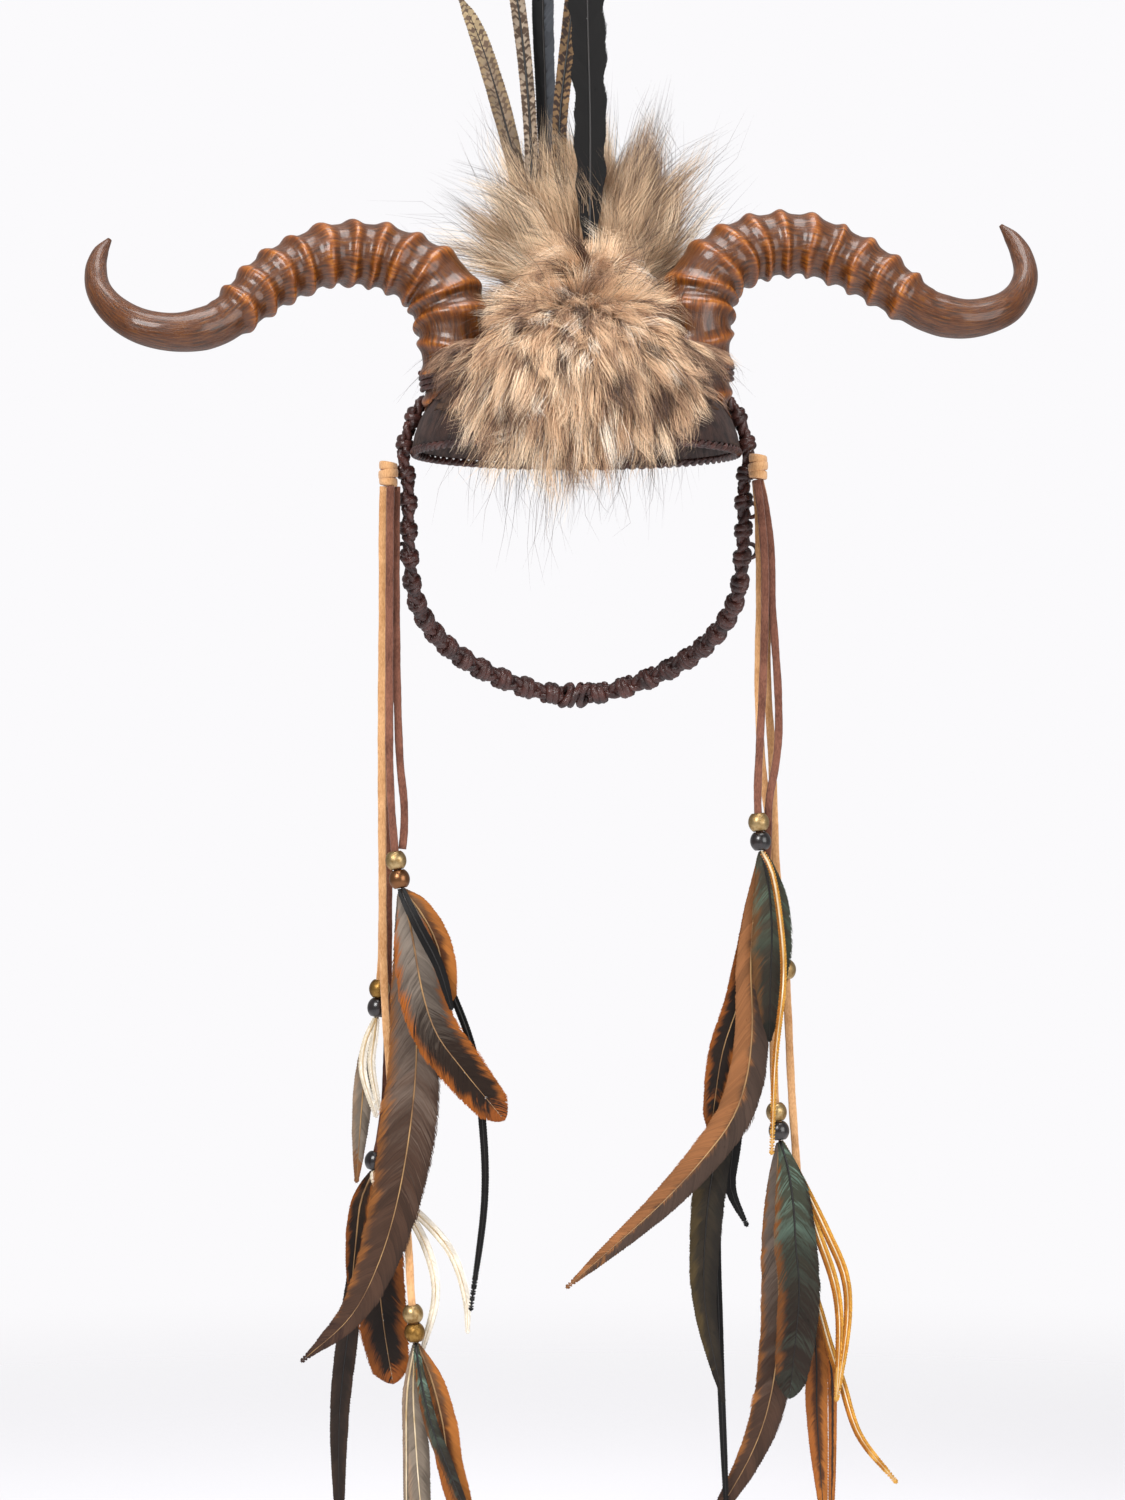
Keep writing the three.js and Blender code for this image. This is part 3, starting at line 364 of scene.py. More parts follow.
def strips(name: str, centres: np.ndarray, halves: np.ndarray,
           maps: dict[str, np.ndarray]) -> bpy.types.Object:
    """Joins many thin strips, such as hairs or barbs, into one mesh.

    Args:
        name: The object's name.
        centres: Middle line of each strip in mm, shaped (strips, stations, 3).
        halves: Half width vectors in mm, of the same shape.
        maps: UV maps by name, shaped (strips, stations, 2) or (strips, stations, 2, 2) where the
            last but one index tells the strip's two edges apart.

    Returns:
        The new object.
    """
    count, stations = centres.shape[:2]
    corners = np.stack((centres - halves, centres + halves), axis=2) * MM
    grid = np.arange(count * stations * 2).reshape(count, stations, 2)
    near, far = grid[:, :-1], grid[:, 1:]
    quads = np.stack((near[..., 0], near[..., 1], far[..., 1], far[..., 0]), axis=-1).reshape(-1, 4)
    data = bpy.data.meshes.new(name)
    data.vertices.add(corners.size // 3)
    data.vertices.foreach_set("co", corners.reshape(-1).astype(np.float32))
    data.loops.add(quads.size)
    data.loops.foreach_set("vertex_index", quads.reshape(-1).astype(np.int32))
    data.polygons.add(len(quads))
    data.polygons.foreach_set("loop_start", np.arange(0, quads.size, 4, dtype=np.int32))
    for map_name, values in maps.items():
        spread = values if values.ndim == 4 else np.repeat(values[:, :, None], 2, axis=2)
        layer = data.uv_layers.new(name=map_name)
        layer.data.foreach_set("uv", spread.reshape(-1, 2)[quads.reshape(-1)].reshape(-1).astype(np.float32))
    data.update(calc_edges=True)
    piece = bpy.data.objects.new(name, data)
    bpy.context.scene.collection.objects.link(piece)
    return piece


class Recipe:
    """A material while it is made: its node tree, its shader, and the nodes that finishes share."""

    def __init__(self, name: str) -> None:
        """Starts a material under a name."""
        self.material = bpy.data.materials.new(name)
        self.material.use_nodes = True
        self.tree = self.material.node_tree
        self.shader = self.tree.nodes["Principled BSDF"]

    def add(self, kind: str, settings: dict | None = None, inputs: dict | None = None,
            out: int | str = 0) -> Socket:
        """Adds a node and gives one of its outputs."""
        return add_node(self.tree, kind, settings, inputs).outputs[out]

    def feed(self, inputs: dict) -> None:
        """Sets or links inputs of the shader, by name."""
        fill(self.tree, self.shader, inputs)

    def place(self) -> Socket:
        """The place in the piece's own space, in metres."""
        return self.add("ShaderNodeTexCoord", out="Object")

    def uv(self, name: str) -> Socket:
        """One of the mesh's maps."""
        return self.add("ShaderNodeUVMap", {"uv_map": name})

    def scaled(self, place: Socket, scale: tuple[float, float, float]) -> Socket:
        """A place multiplied in each direction."""
        return self.add("ShaderNodeMapping", inputs={0: place, "Scale": scale})

    def split(self, place: Socket) -> bpy.types.bpy_prop_collection:
        """The parts of a place, by number."""
        return add_node(self.tree, "ShaderNodeSeparateXYZ", inputs={0: place}).outputs

    def noise(self, place: Socket, scale: float, detail: float, roughness: float = 0.5) -> Socket:
        """Soft noise around one half."""
        return self.add("ShaderNodeTexNoise", inputs={0: place, "Scale": scale, "Detail": detail,
                                                      "Roughness": roughness})

    def math(self, way: str, *values: Socket | float) -> Socket:
        """A sum of its values, or what else the way says."""
        return self.add("ShaderNodeMath", {"operation": way}, dict(enumerate(values)))

    def span(self, value: Socket, low: float, high: float, first: float = 0.0,
             last: Socket | float = 1.0, smooth: bool = False) -> Socket:
        """Turns values from low to high into values from first to last, and holds them there."""
        way = {"interpolation_type": "SMOOTHSTEP" if smooth else "LINEAR"}
        return self.add("ShaderNodeMapRange", way, {0: value, 1: low, 2: high, 3: first, 4: last})

    def ramp(self, value: Socket, *stops: tuple[float, str]) -> Socket:
        """Colours by value, from places and hex colours."""
        return add_node(self.tree, "ShaderNodeValToRGB", inputs={0: value}, stops=stops).outputs[0]

    def blend(self, share: Socket | float, under: Socket | tuple, over: Socket | tuple,
              way: str = "MIX") -> Socket:
        """Lays one colour over another by a share."""
        return self.add("ShaderNodeMix", {"data_type": "RGBA", "blend_type": way},
                        {0: share, 6: under, 7: over}, 2)

    def bump(self, height: Socket, strength: float, distance: float) -> None:
        """Lets heights stand out of the surface by a distance in metres."""
        self.feed({"Normal": self.add("ShaderNodeBump", inputs={
            "Strength": strength, "Distance": distance, "Height": height})})


@dataclass(frozen=True)
class Finish:
    """A surface finish that builds its own material."""

    name: str

    def build(self) -> bpy.types.Material:
        """Builds the material."""
        raise NotImplementedError


@dataclass(frozen=True)
class CastHorn(Finish):
    """Cast resin horn, stained dark and rubbed back to rust on its rings, then varnished.

    The varnish gives broad soft highlights, and the stain stays in the fine lengthwise grain.
    """

    stain: tuple[tuple[float, str], ...] = (
        (0.0, "#67401b"), (0.25, "#6a421b"), (0.62, "#7c4b1a"), (0.9, "#9a5f20"), (1.0, "#aa6e2a"))
    streaks: tuple[tuple[float, str], ...] = ((0.36, "#452813"), (0.5, "#c0956a"), (0.64, "#fff0dc"))
    grain_scale: tuple[float, float, float] = (70, 0.14, 1)
    patch_scale: tuple[float, float, float] = (9, 0.12, 1)

    def build(self) -> bpy.types.Material:
        """Builds the material from the horn's map of turns and mm along it, and its ring heights."""
        made = Recipe(self.name)
        place = made.uv("along")
        grain = made.noise(made.scaled(place, self.grain_scale), 1.0, 5.0, 0.62)
        patches = made.noise(made.scaled(place, self.patch_scale), 1.0, 5.0)
        height = made.add("ShaderNodeAttribute", {"attribute_name": "ring_height"}, out="Fac")
        rubbed = made.math("ADD", height, made.math("MULTIPLY_ADD", patches, 0.7, -0.35))
        colour = made.blend(0.8, made.ramp(rubbed, *self.stain), made.ramp(grain, *self.streaks), "MULTIPLY")
        made.feed({"Base Color": colour, "Roughness": made.span(grain, 0.3, 0.7, 0.48, 0.22),
                   "Coat Weight": 0.4, "Coat Roughness": 0.12, "Specular IOR Level": 0.35})
        made.bump(grain, 0.6, 0.0007)
        return made.material


@dataclass(frozen=True)
class Leather(Finish):
    """Dyed leather with a fine pebbled grain that breaks up its soft shine."""

    dark: str
    light: str
    roughness: float
    grain_mm: float = 0.9

    def build(self) -> bpy.types.Material:
        """Builds the material from the piece's place in space."""
        made = Recipe(self.name)
        place = made.place()
        grain = made.add("ShaderNodeTexVoronoi", {"feature": "SMOOTH_F1"},
                         {0: place, "Scale": 1 / (self.grain_mm * MM), "Smoothness": 0.6})
        wear = made.noise(place, 180.0, 5.0)
        made.feed({"Base Color": made.ramp(wear, (0.34, self.dark), (0.7, self.light)),
                   "Roughness": made.span(wear, 0.3, 0.7, self.roughness + 0.12, self.roughness - 0.08)})
        made.bump(grain, 0.5, 0.0003)
        return made.material


@dataclass(frozen=True)
class Suede(Finish):
    """Split suede lace: a matt nap that is lighter where it is brushed, and hardly a highlight."""

    dark: str
    light: str
    nap_mm: float = 0.5
    drawn: tuple[float, float, float] = (1, 1, 0.35)

    def build(self) -> bpy.types.Material:
        """Builds the material from the piece's place in space."""
        made = Recipe(self.name)
        place = made.place()
        nap = made.noise(made.scaled(place, self.drawn), 1 / (self.nap_mm * MM), 4.0)
        brushed = made.noise(place, 90.0, 3.0)
        both = made.add("ShaderNodeMix", {"data_type": "FLOAT"}, {0: 0.45, 2: nap, 3: brushed})
        made.feed({"Base Color": made.ramp(both, (0.36, self.dark), (0.62, self.light)),
                   "Roughness": 0.93, "Specular IOR Level": 0.15, "Sheen Weight": 0.3})
        made.bump(nap, 0.7, 0.0002)
        return made.material


@dataclass(frozen=True)
class CastMetal(Finish):
    """Cast and tumbled metal with a dark patina left in its low places."""

    bright: str
    patina: str
    roughness: float = 0.34

    def build(self) -> bpy.types.Material:
        """Builds the material from the piece's place in space."""
        made = Recipe(self.name)
        cloud = made.noise(made.place(), 420.0, 6.0, 0.65)
        made.feed({"Base Color": made.ramp(cloud, (0.36, self.patina), (0.6, self.bright)), "Metallic": 1.0,
                   "Roughness": made.span(cloud, 0.35, 0.65, self.roughness + 0.2, self.roughness)})
        made.bump(cloud, 0.25, 0.0002)
        return made.material


@dataclass(frozen=True)
class PolishedWood(Finish):
    """Black dyed wood under a clear polish, which gives a small sharp highlight."""

    dark: str = "#0b090a"
    light: str = "#241a1a"
    grain_scale: tuple[float, float, float] = (900, 900, 160)

    def build(self) -> bpy.types.Material:
        """Builds the material from the piece's place in space."""
        made = Recipe(self.name)
        grain = made.noise(made.scaled(made.place(), self.grain_scale), 1.0, 3.0)
        made.feed({"Base Color": made.ramp(grain, (0.35, self.dark), (0.7, self.light)),
                   "Roughness": 0.3, "Coat Weight": 0.4, "Coat Roughness": 0.08})
        return made.material


@dataclass(frozen=True)
class FurHair(Finish):
    """Long-pile fur: soft pale hair with its own root colour, and coarse guard hairs with dark tips.

    The hair's own map holds its tone across and its share of the length upwards.
    """

    tones: tuple[tuple[float, str], ...]
    root: str
    root_share: float

    def build(self) -> bpy.types.Material:
        """Builds the material from the hair's own map."""
        made = Recipe(self.name)
        parts = made.split(made.uv("hair"))
        rise = made.span(parts[1], self.root_share * 0.3, self.root_share, smooth=True)
        made.feed({"Base Color": made.blend(rise, linear(self.root), made.ramp(parts[0], *self.tones)),
                   "Roughness": 0.62, "Specular IOR Level": 0.35, "Sheen Weight": 0.15})
        return made.material


@dataclass(frozen=True)
class Hide(Finish):
    """The fur's own skin and short down."""

    dark: str
    light: str

    def build(self) -> bpy.types.Material:
        """Builds the material from the piece's place in space."""
        made = Recipe(self.name)
        down = made.noise(made.place(), 260.0, 6.0)
        made.feed({"Base Color": made.ramp(down, (0.35, self.dark), (0.7, self.light)), "Roughness": 1.0})
        made.bump(down, 0.9, 0.001)
        return made.material


@dataclass(frozen=True)
class Plumage(Finish):
    """A feather's vane: coloured by side, edge, bars and tip, some with a faint iridescent sheen painted into
    its colour as flecks.

    The vane map runs from edge to edge and from quill to tip. The barb map holds each barb's own
    tone, lower in the layer behind the barbs as painted shade, and the millimetres along the feather.
    """

    middle: str
    left_edge: str
    right_edge: str
    tip: str
    edge_from: float = 0.55
    tip_from: float = 0.86
    bar: str = ""
    bar_pitch: float = 4.0
    bar_share: float = 0.5
    gloss: float = 0.5
    # sheen: the colour of a painted sheen, laid into the vane in flecks
    sheen: str = ""
    base: str = ""
    base_to: float = 0.5

    def build(self) -> bpy.types.Material:
        """Builds the material from the vane's own maps."""
        made = Recipe(self.name)
        vane = made.split(made.uv("vane"))
        barb_place = made.uv("barb")
        barb = made.split(barb_place)
        mottle = made.noise(made.scaled(barb_place, (1.6, 0.13, 1)), 1.0, 4.0, 0.6)
        shift = made.span(mottle, 0.3, 0.7, -0.15, 0.15)
        across = made.math("ADD", vane[0], shift)
        wander = made.math("ADD", vane[1], shift)
        half = self.edge_from / 2
        grown = made.span(wander, self.base_to - 0.42, self.base_to + 0.16, smooth=True)
        right = made.span(across, 0.45 + half, 0.67 + half, smooth=True)
        left = made.span(across, 0.55 - half, 0.33 - half, smooth=True)
        end = made.span(wander, self.tip_from, self.tip_from + 0.1, smooth=True)
        colour = linear(self.base or self.middle)
        for share, over in ((grown, self.middle), (right, self.right_edge), (left, self.left_edge),
                            (end, self.tip)):
            colour = made.blend(share, colour, linear(over))
        if self.bar:
            colour = self._barred(made, colour, barb[1], shift)
        # Painted sheen: flecks of the sheen colour, strongest near the quill, laid into the base colour.
        if self.sheen:
            painted_sheen_fade = made.span(grown, 0.0, 1.0, 1.0, 0.12)
            colour = made.blend(made.span(mottle, 0.48, 0.7, 0.0, painted_sheen_fade), colour, linear(self.sheen))
        # Each barb's own tone, lower in the layer behind the barbs as painted shade.
        tone = made.span(barb[0], 0.0, 1.0, 0.62, 1.18)
        barb_tone_and_shade = made.add("ShaderNodeVectorMath", {"operation": "SCALE"}, {0: colour, "Scale": tone})
        made.feed({"Base Color": barb_tone_and_shade, "Roughness": self.gloss, "Specular IOR Level": 0.22})
        return made.material

    def _barred(self, made: Recipe, colour: Socket, along: Socket, shift: Socket) -> Socket:
        """Lays dark bars across the vane.

        Args:
            made: The material.
            colour: The colour under the bars.
            along: Millimetres along the feather.
            shift: A small irregular shift.

        Returns:
            The barred colour.
        """
        turns = made.math("DIVIDE", along, self.bar_pitch)
        phase = made.math("PINGPONG", made.math("MULTIPLY_ADD", shift, 0.4, turns), 0.5)
        edge = self.bar_share / 2
        return made.blend(made.span(phase, edge + 0.05, edge - 0.05, smooth=True), colour, linear(self.bar))


@dataclass(frozen=True)
class Keratin(Finish):
    """A feather's shaft: smooth keratin with a slight waxy shine."""

    pale: str
    dark: str

    def build(self) -> bpy.types.Material:
        """Builds the material from the piece's place in space."""
        made = Recipe(self.name)
        cloud = made.noise(made.place(), 70.0, 3.0)
        made.feed({"Base Color": made.ramp(cloud, (0.35, self.dark), (0.65, self.pale)), "Roughness": 0.38})
        return made.material


@dataclass(frozen=True)
class StudioFloor(Finish):
    """A pale sweep of studio paper that fades into the backdrop's light."""

    near: float
    far: float

    def build(self) -> bpy.types.Material:
        """Builds the material, which fades out with the distance from the middle."""
        made = Recipe(self.name)
        reach = made.add("ShaderNodeVectorMath", {"operation": "LENGTH"}, {0: made.place()}, "Value")
        fade = made.span(reach, self.near, self.far, smooth=True)
        clear = made.add("ShaderNodeBsdfTransparent")
        mixed = made.add("ShaderNodeMixShader", inputs={0: fade, 1: made.shader.outputs[0], 2: clear})
        made.feed({"Base Color": linear("#ecebee"), "Roughness": 0.9})
        fill(made.tree, made.tree.nodes["Material Output"], {"Surface": mixed})
        return made.material


class Look(Enum):
    """The headdress's finishes, each with the record's slot that it belongs to."""

    HORN = (CastHorn("cast_resin_horn"), "horn")
    CAP = (Leather("dyed_cap_leather", "#21120e", "#40281f", 0.58), "cap_leather")
    CORD = (Leather("waxed_cord_leather", "#2a1614", "#58352f", 0.27, 0.5), "cord_leather")
    SUEDE_TAN = (Suede("tan_suede", "#b48152", "#dcab7a"), "suede_tan")
    SUEDE_BROWN = (Suede("brown_suede", "#553327", "#815443"), "suede_brown")
    BRASS = (CastMetal("antique_brass", "#b39a70", "#8a6c42"), "brass")
    BRASS_DARK = (CastMetal("dark_brass", "#9a7640", "#6a4b22"), "brass_dark")
    COPPER = (CastMetal("copper_brown", "#8a684e", "#5c4230"), "copper_brown")
    BLACK_WOOD = (PolishedWood("black_polished_wood"), "black_wood")
    FUR_FRONT = (FurHair("fur_hair_front", (
        (0.0, "#432c21"), (0.12, "#80604a"), (0.26, "#bf9878"), (0.46, "#e6c29c"), (0.68, "#fde4c4"),
        (0.86, "#fff8ec"), (0.93, "#4a342b"), (1.0, "#2a1c18")), "#6f4d37", 0.42), "fur")
    FUR_RUFF = (FurHair("fur_hair_ruff", (
        (0.0, "#8a6f5b"), (0.3, "#c7a888"), (0.6, "#efd2ae"), (0.86, "#fff0da"), (0.93, "#4f3d36"),
        (1.0, "#2a201e")), "#d9b793", 0.62), "fur")
    FUR_HIDE = (Hide("fur_hide", "#2c1d15", "#5c4230"), "fur")
    SHAFT_DARK = (Keratin("dark_shaft", "#17110e", "#0c0908"), "feather_dark_brown")
    SHAFT_TAN = (Keratin("tan_shaft", "#a98456", "#6d4c2e"), "feather_brown_orange")
    SHAFT_PALE = (Keratin("pale_shaft", "#e6d6b8", "#b09468"), "feather_cream")
    BLACK = (Plumage("black_feather", "#0b0909", "#0e0c0c", "#0e0c0c", "#080707", gloss=0.42),
             "feather_black")
    BLACK_GREY = (Plumage("black_grey_feather", "#121214", "#101012", "#474a50", "#2b2c2f", 0.06, 0.95),
                  "feather_black_grey")
    BARRED_DARK = (Plumage("barred_feather", "#a3927f", "#94816d", "#94816d", "#8b7966", bar="#4f3e31",
                           bar_pitch=2.6), "feather_barred_dark")
    BARRED_TAN = (Plumage("tan_barred_feather", "#84725f", "#8b7558", "#8b7558", "#9c8869", tip_from=0.7,
                          bar="#5f4d3e", bar_pitch=2.5, bar_share=0.42), "feather_barred_tan")
    BARRED_GOLD = (Plumage("golden_barred_feather", "#866a4a", "#8b6b49", "#8b6b49", "#765a3a", bar="#3d2e27",
                           bar_pitch=2.8, bar_share=0.46), "feather_barred_gold")
    # The pale grey-taupe base near the quill is partly the feather's own colour, partly a painted silvery
    # sheen.
    BROWN_ORANGE = (Plumage("brown_orange_feather", "#24170f", "#97521a", "#9a5720", "#8a4a1c", 0.66, 0.93,
                            gloss=0.4, base="#7c7065", base_to=0.55), "feather_brown_orange")
    BROWN_DEEP = (Plumage("deep_brown_feather", "#1d130d", "#7f4415", "#90501c", "#85481a", 0.6, 0.92,
                          gloss=0.4, base="#3b2a1e", base_to=0.4), "feather_brown_orange")
    DARK_BROWN = (Plumage("dark_brown_feather", "#231913", "#2e2119", "#33241a", "#191210", gloss=0.45),
                  "feather_dark_brown")
    ORANGE = (Plumage("orange_feather", "#4f2c14", "#985722", "#a36228", "#9c5d24", 0.3, 0.8, gloss=0.5,
                      base="#7d5a3c", base_to=0.35), "feather_orange")
    TAN_ORANGE = (Plumage("tan_orange_feather", "#6f4a2c", "#8b5a35", "#44342b", "#80542f", -0.08, 0.93,
                          gloss=0.48), "feather_tan_orange")
    TAUPE = (Plumage("taupe_feather", "#432e22", "#855226", "#3c2a20", "#33211a", 0.7, 0.88, gloss=0.42,
                     base="#73655a", base_to=0.48), "feather_taupe")
    GREY = (Plumage("grey_feather", "#75695c", "#8a7460", "#5d5247", "#7d5230", 0.5, 0.8), "feather_grey")
    # Its sheen colour is a painted iridescent sheen.
    OLIVE = (Plumage("olive_feather", "#2a231a", "#43361f", "#1f1a15", "#1c1611", 0.4, gloss=0.4,
                     sheen="#38372a"), "feather_olive")
    # Its sheen colour is a painted iridescent sheen.
    GREEN = (Plumage("green_feather", "#261d17", "#6b3f1c", "#2a2019", "#241a14", 0.62, 0.86, gloss=0.32,
                     sheen="#7a9a89", base="#3d4034", base_to=0.5), "feather_green")
    # Its sheen colour is a painted iridescent sheen.
    GREEN_DARK = (Plumage("dark_green_feather", "#2b241d", "#5c3d22", "#34352b", "#1c1813", 0.55, 0.86,
                          gloss=0.34, sheen="#566d5c", base="#403b30", base_to=0.6), "feather_green")
    CREAM = (Plumage("cream_biot", "#e9dfcf", "#d6c8ae", "#efe7d8", "#e9dfcf", gloss=0.42), "feather_cream")
    GOLD = (Plumage("golden_biot", "#ab6c1e", "#8a5014", "#cf9a42", "#c99544", gloss=0.38), "feather_gold")

    def __init__(self, finish: Finish, slot: str) -> None:
        """Keeps the finish and the slot apart."""
        self.finish = finish
        self.slot = slot

    def material(self) -> bpy.types.Material:
        """The finish's material, built at its first use."""
        return bpy.data.materials.get(self.finish.name) or self.finish.build()


@dataclass
class Studio:
    """Camera, light and floor, as the photograph was taken."""

    scale: float = 0.42
    frame_width: int = 1125
    frame_height: int = 1500
    origin_column: float = 576
    origin_row: float = 340
    distance: float = 1800
    floor_level: float = -575
    floor_radius: float = 1.9
    sensor: float = 36
    ambience: float = 0.4

    def build(self) -> None:
        """Sets up the camera, the world, the lights and the floor."""
        self.add_camera()
        self.add_world()
        self.add_light("key_light", (-0.9, -1.6, 0.9), 0.9, 41)
        self.add_light("fill_light", (1.3, -1.4, 0.2), 1.3, 23)
        self.add_light("top_light", (0.1, -0.2, 1.5), 1.0, 24)
        self.add_floor()

    def add_camera(self) -> None:
        """Puts the camera level, square to the front, at the photograph's framing."""
        height = self.frame_height * self.scale
        camera = bpy.data.cameras.new("camera")
        camera.sensor_width = self.sensor
        camera.lens = self.sensor * self.distance / height
        camera.clip_end = 20
        holder = bpy.data.objects.new("camera", camera)
        column = (self.frame_width / 2 - self.origin_column) * self.scale
        row = (self.origin_row - self.frame_height / 2) * self.scale
        holder.location = Vector((column, -self.distance, row)) * MM
        holder.rotation_euler = (math.pi / 2, 0, 0)
        bpy.context.scene.collection.objects.link(holder)
        bpy.context.scene.camera = holder

    def add_world(self) -> None:
        """Lights the scene evenly from a near-white backdrop."""
        world = bpy.data.worlds.new("backdrop")
        world.use_nodes = True
        ground = world.node_tree.nodes["Background"]
        seen = add_node(world.node_tree, "ShaderNodeLightPath").outputs["Is Camera Ray"]
        level = add_node(world.node_tree, "ShaderNodeMapRange", inputs={0: seen, 3: self.ambience, 4: 1.0})
        fill(world.node_tree, ground, {"Color": linear("#fbfafc"), "Strength": level.outputs[0]})
        bpy.context.scene.world = world
        bpy.context.scene.view_settings.view_transform = "Standard"

    def add_light(self, name: str, place: tuple[float, float, float], size: float, power: float) -> None:
        """Adds a soft square light that looks at the headdress.

        Args:
            name: The light's name.
            place: Where it stands, in metres.
            size: The length of its side, in metres.
            power: Its power in watts.
        """
        light = bpy.data.lights.new(name, "AREA")
        light.shape = "SQUARE"
        light.size = size
        light.energy = power
        holder = bpy.data.objects.new(name, light)
        holder.location = place
        aim = Vector((0, 0, -0.1)) - Vector(place)
        holder.rotation_euler = aim.to_track_quat("-Z", "Y").to_euler()
        bpy.context.scene.collection.objects.link(holder)

    def add_floor(self) -> None:
        """Lays a pale floor under the lowest feather."""
        mesh = bmesh.new()
        bmesh.ops.create_circle(mesh, cap_ends=True, radius=self.floor_radius, segments=96)
        bmesh.ops.translate(mesh, verts=mesh.verts, vec=(0, 0, self.floor_level * MM))
        floor = from_bmesh("floor", mesh)
        reach = self.floor_radius
        floor.data.materials.append(StudioFloor("studio_floor", reach * 0.34, reach * 0.8).build())


@dataclass
class Head:
    """The head that the cap follows, and the cap itself, an open leather dome."""

    breadth: float = 134
    depth: float = 168
    rise: float = 52
    wall: float = 2.4
    drop: float = 46
    rim_cord: float = 1.5
    rim_twists: int = 46
    rounds: int = 14
    steps: int = 80

    def holds(self, points: np.ndarray, clearance: float = GAP) -> np.ndarray:
        """Tells which points lie in the cap or in the head under it.

        Args:
            points: Points in millimetres, in the last axis.
            clearance: How far outside the cap a point still counts as inside.

        Returns:
            True where a point is inside.
        """
        off = self.wall + clearance
        across, back = points[..., 0] / (self.breadth / 2 + off), points[..., 1] / (self.depth / 2 + off)
        up = np.clip((points[..., 2] + self.rise) / (self.rise + off), 0, None)
        return across**2 + back**2 + up**2 < 1

    def roof(self, across: float, back: float, clearance: float = GAP) -> float:
        """The cap's upper level over a place, or far below where the cap doesn't reach."""
        off = self.wall + clearance
        share = (across / (self.breadth / 2 + off)) ** 2 + (back / (self.depth / 2 + off)) ** 2
        return (self.rise + off) * math.sqrt(1 - share) - self.rise if share < 1 else -math.inf

    def build(self) -> None:
        """Builds the cap and the twisted cord along its rim."""
        profile = self._arc(0) + self._arc(self.wall)[::-1]
        mesh = turned(profile, self.steps, False, 0.02)
        bmesh.ops.scale(mesh, verts=mesh.verts, vec=(1, self.depth / self.breadth, 1))
        finish_piece(from_bmesh("cap_shell", mesh), Look.CAP, ("cap",))
        self.build_rim()

    def _arc(self, out: float) -> list[tuple[float, float]]:
        """The dome's profile from its top to its rim, a distance outside its inner face."""
        last = math.acos((self.rise - self.drop) / (self.rise + out))
        return [((self.breadth / 2 + out) * math.sin(a), (self.rise + out) * math.cos(a) - self.rise)
                for a in np.linspace(0, last, self.rounds)]

    def build_rim(self) -> None:
        """Builds two leather strands twisted round each other under the cap's rim."""
        mesh = bmesh.new()
        angles = np.linspace(0, 2 * math.pi, 721)
        for strand in (0, math.pi):
            turn = angles * self.rim_twists + strand
            out = self.wall * 0.4 + self.rim_cord * 0.55 * np.cos(turn)
            level = -self.drop - self.rim_cord + self.rim_cord * 0.6 * np.sin(turn)
            route = Route(np.stack(((self.breadth / 2 + out) * np.cos(angles),
                                    (self.depth / 2 + out) * np.sin(angles), level), axis=1))
            stations = np.linspace(0, route.length, 640)
            Loft(route, stations, even(self.rim_cord * 0.7), steady(UP), 6).into(mesh)
        finish_piece(from_bmesh("cap_rim_cord", mesh), Look.CORD)


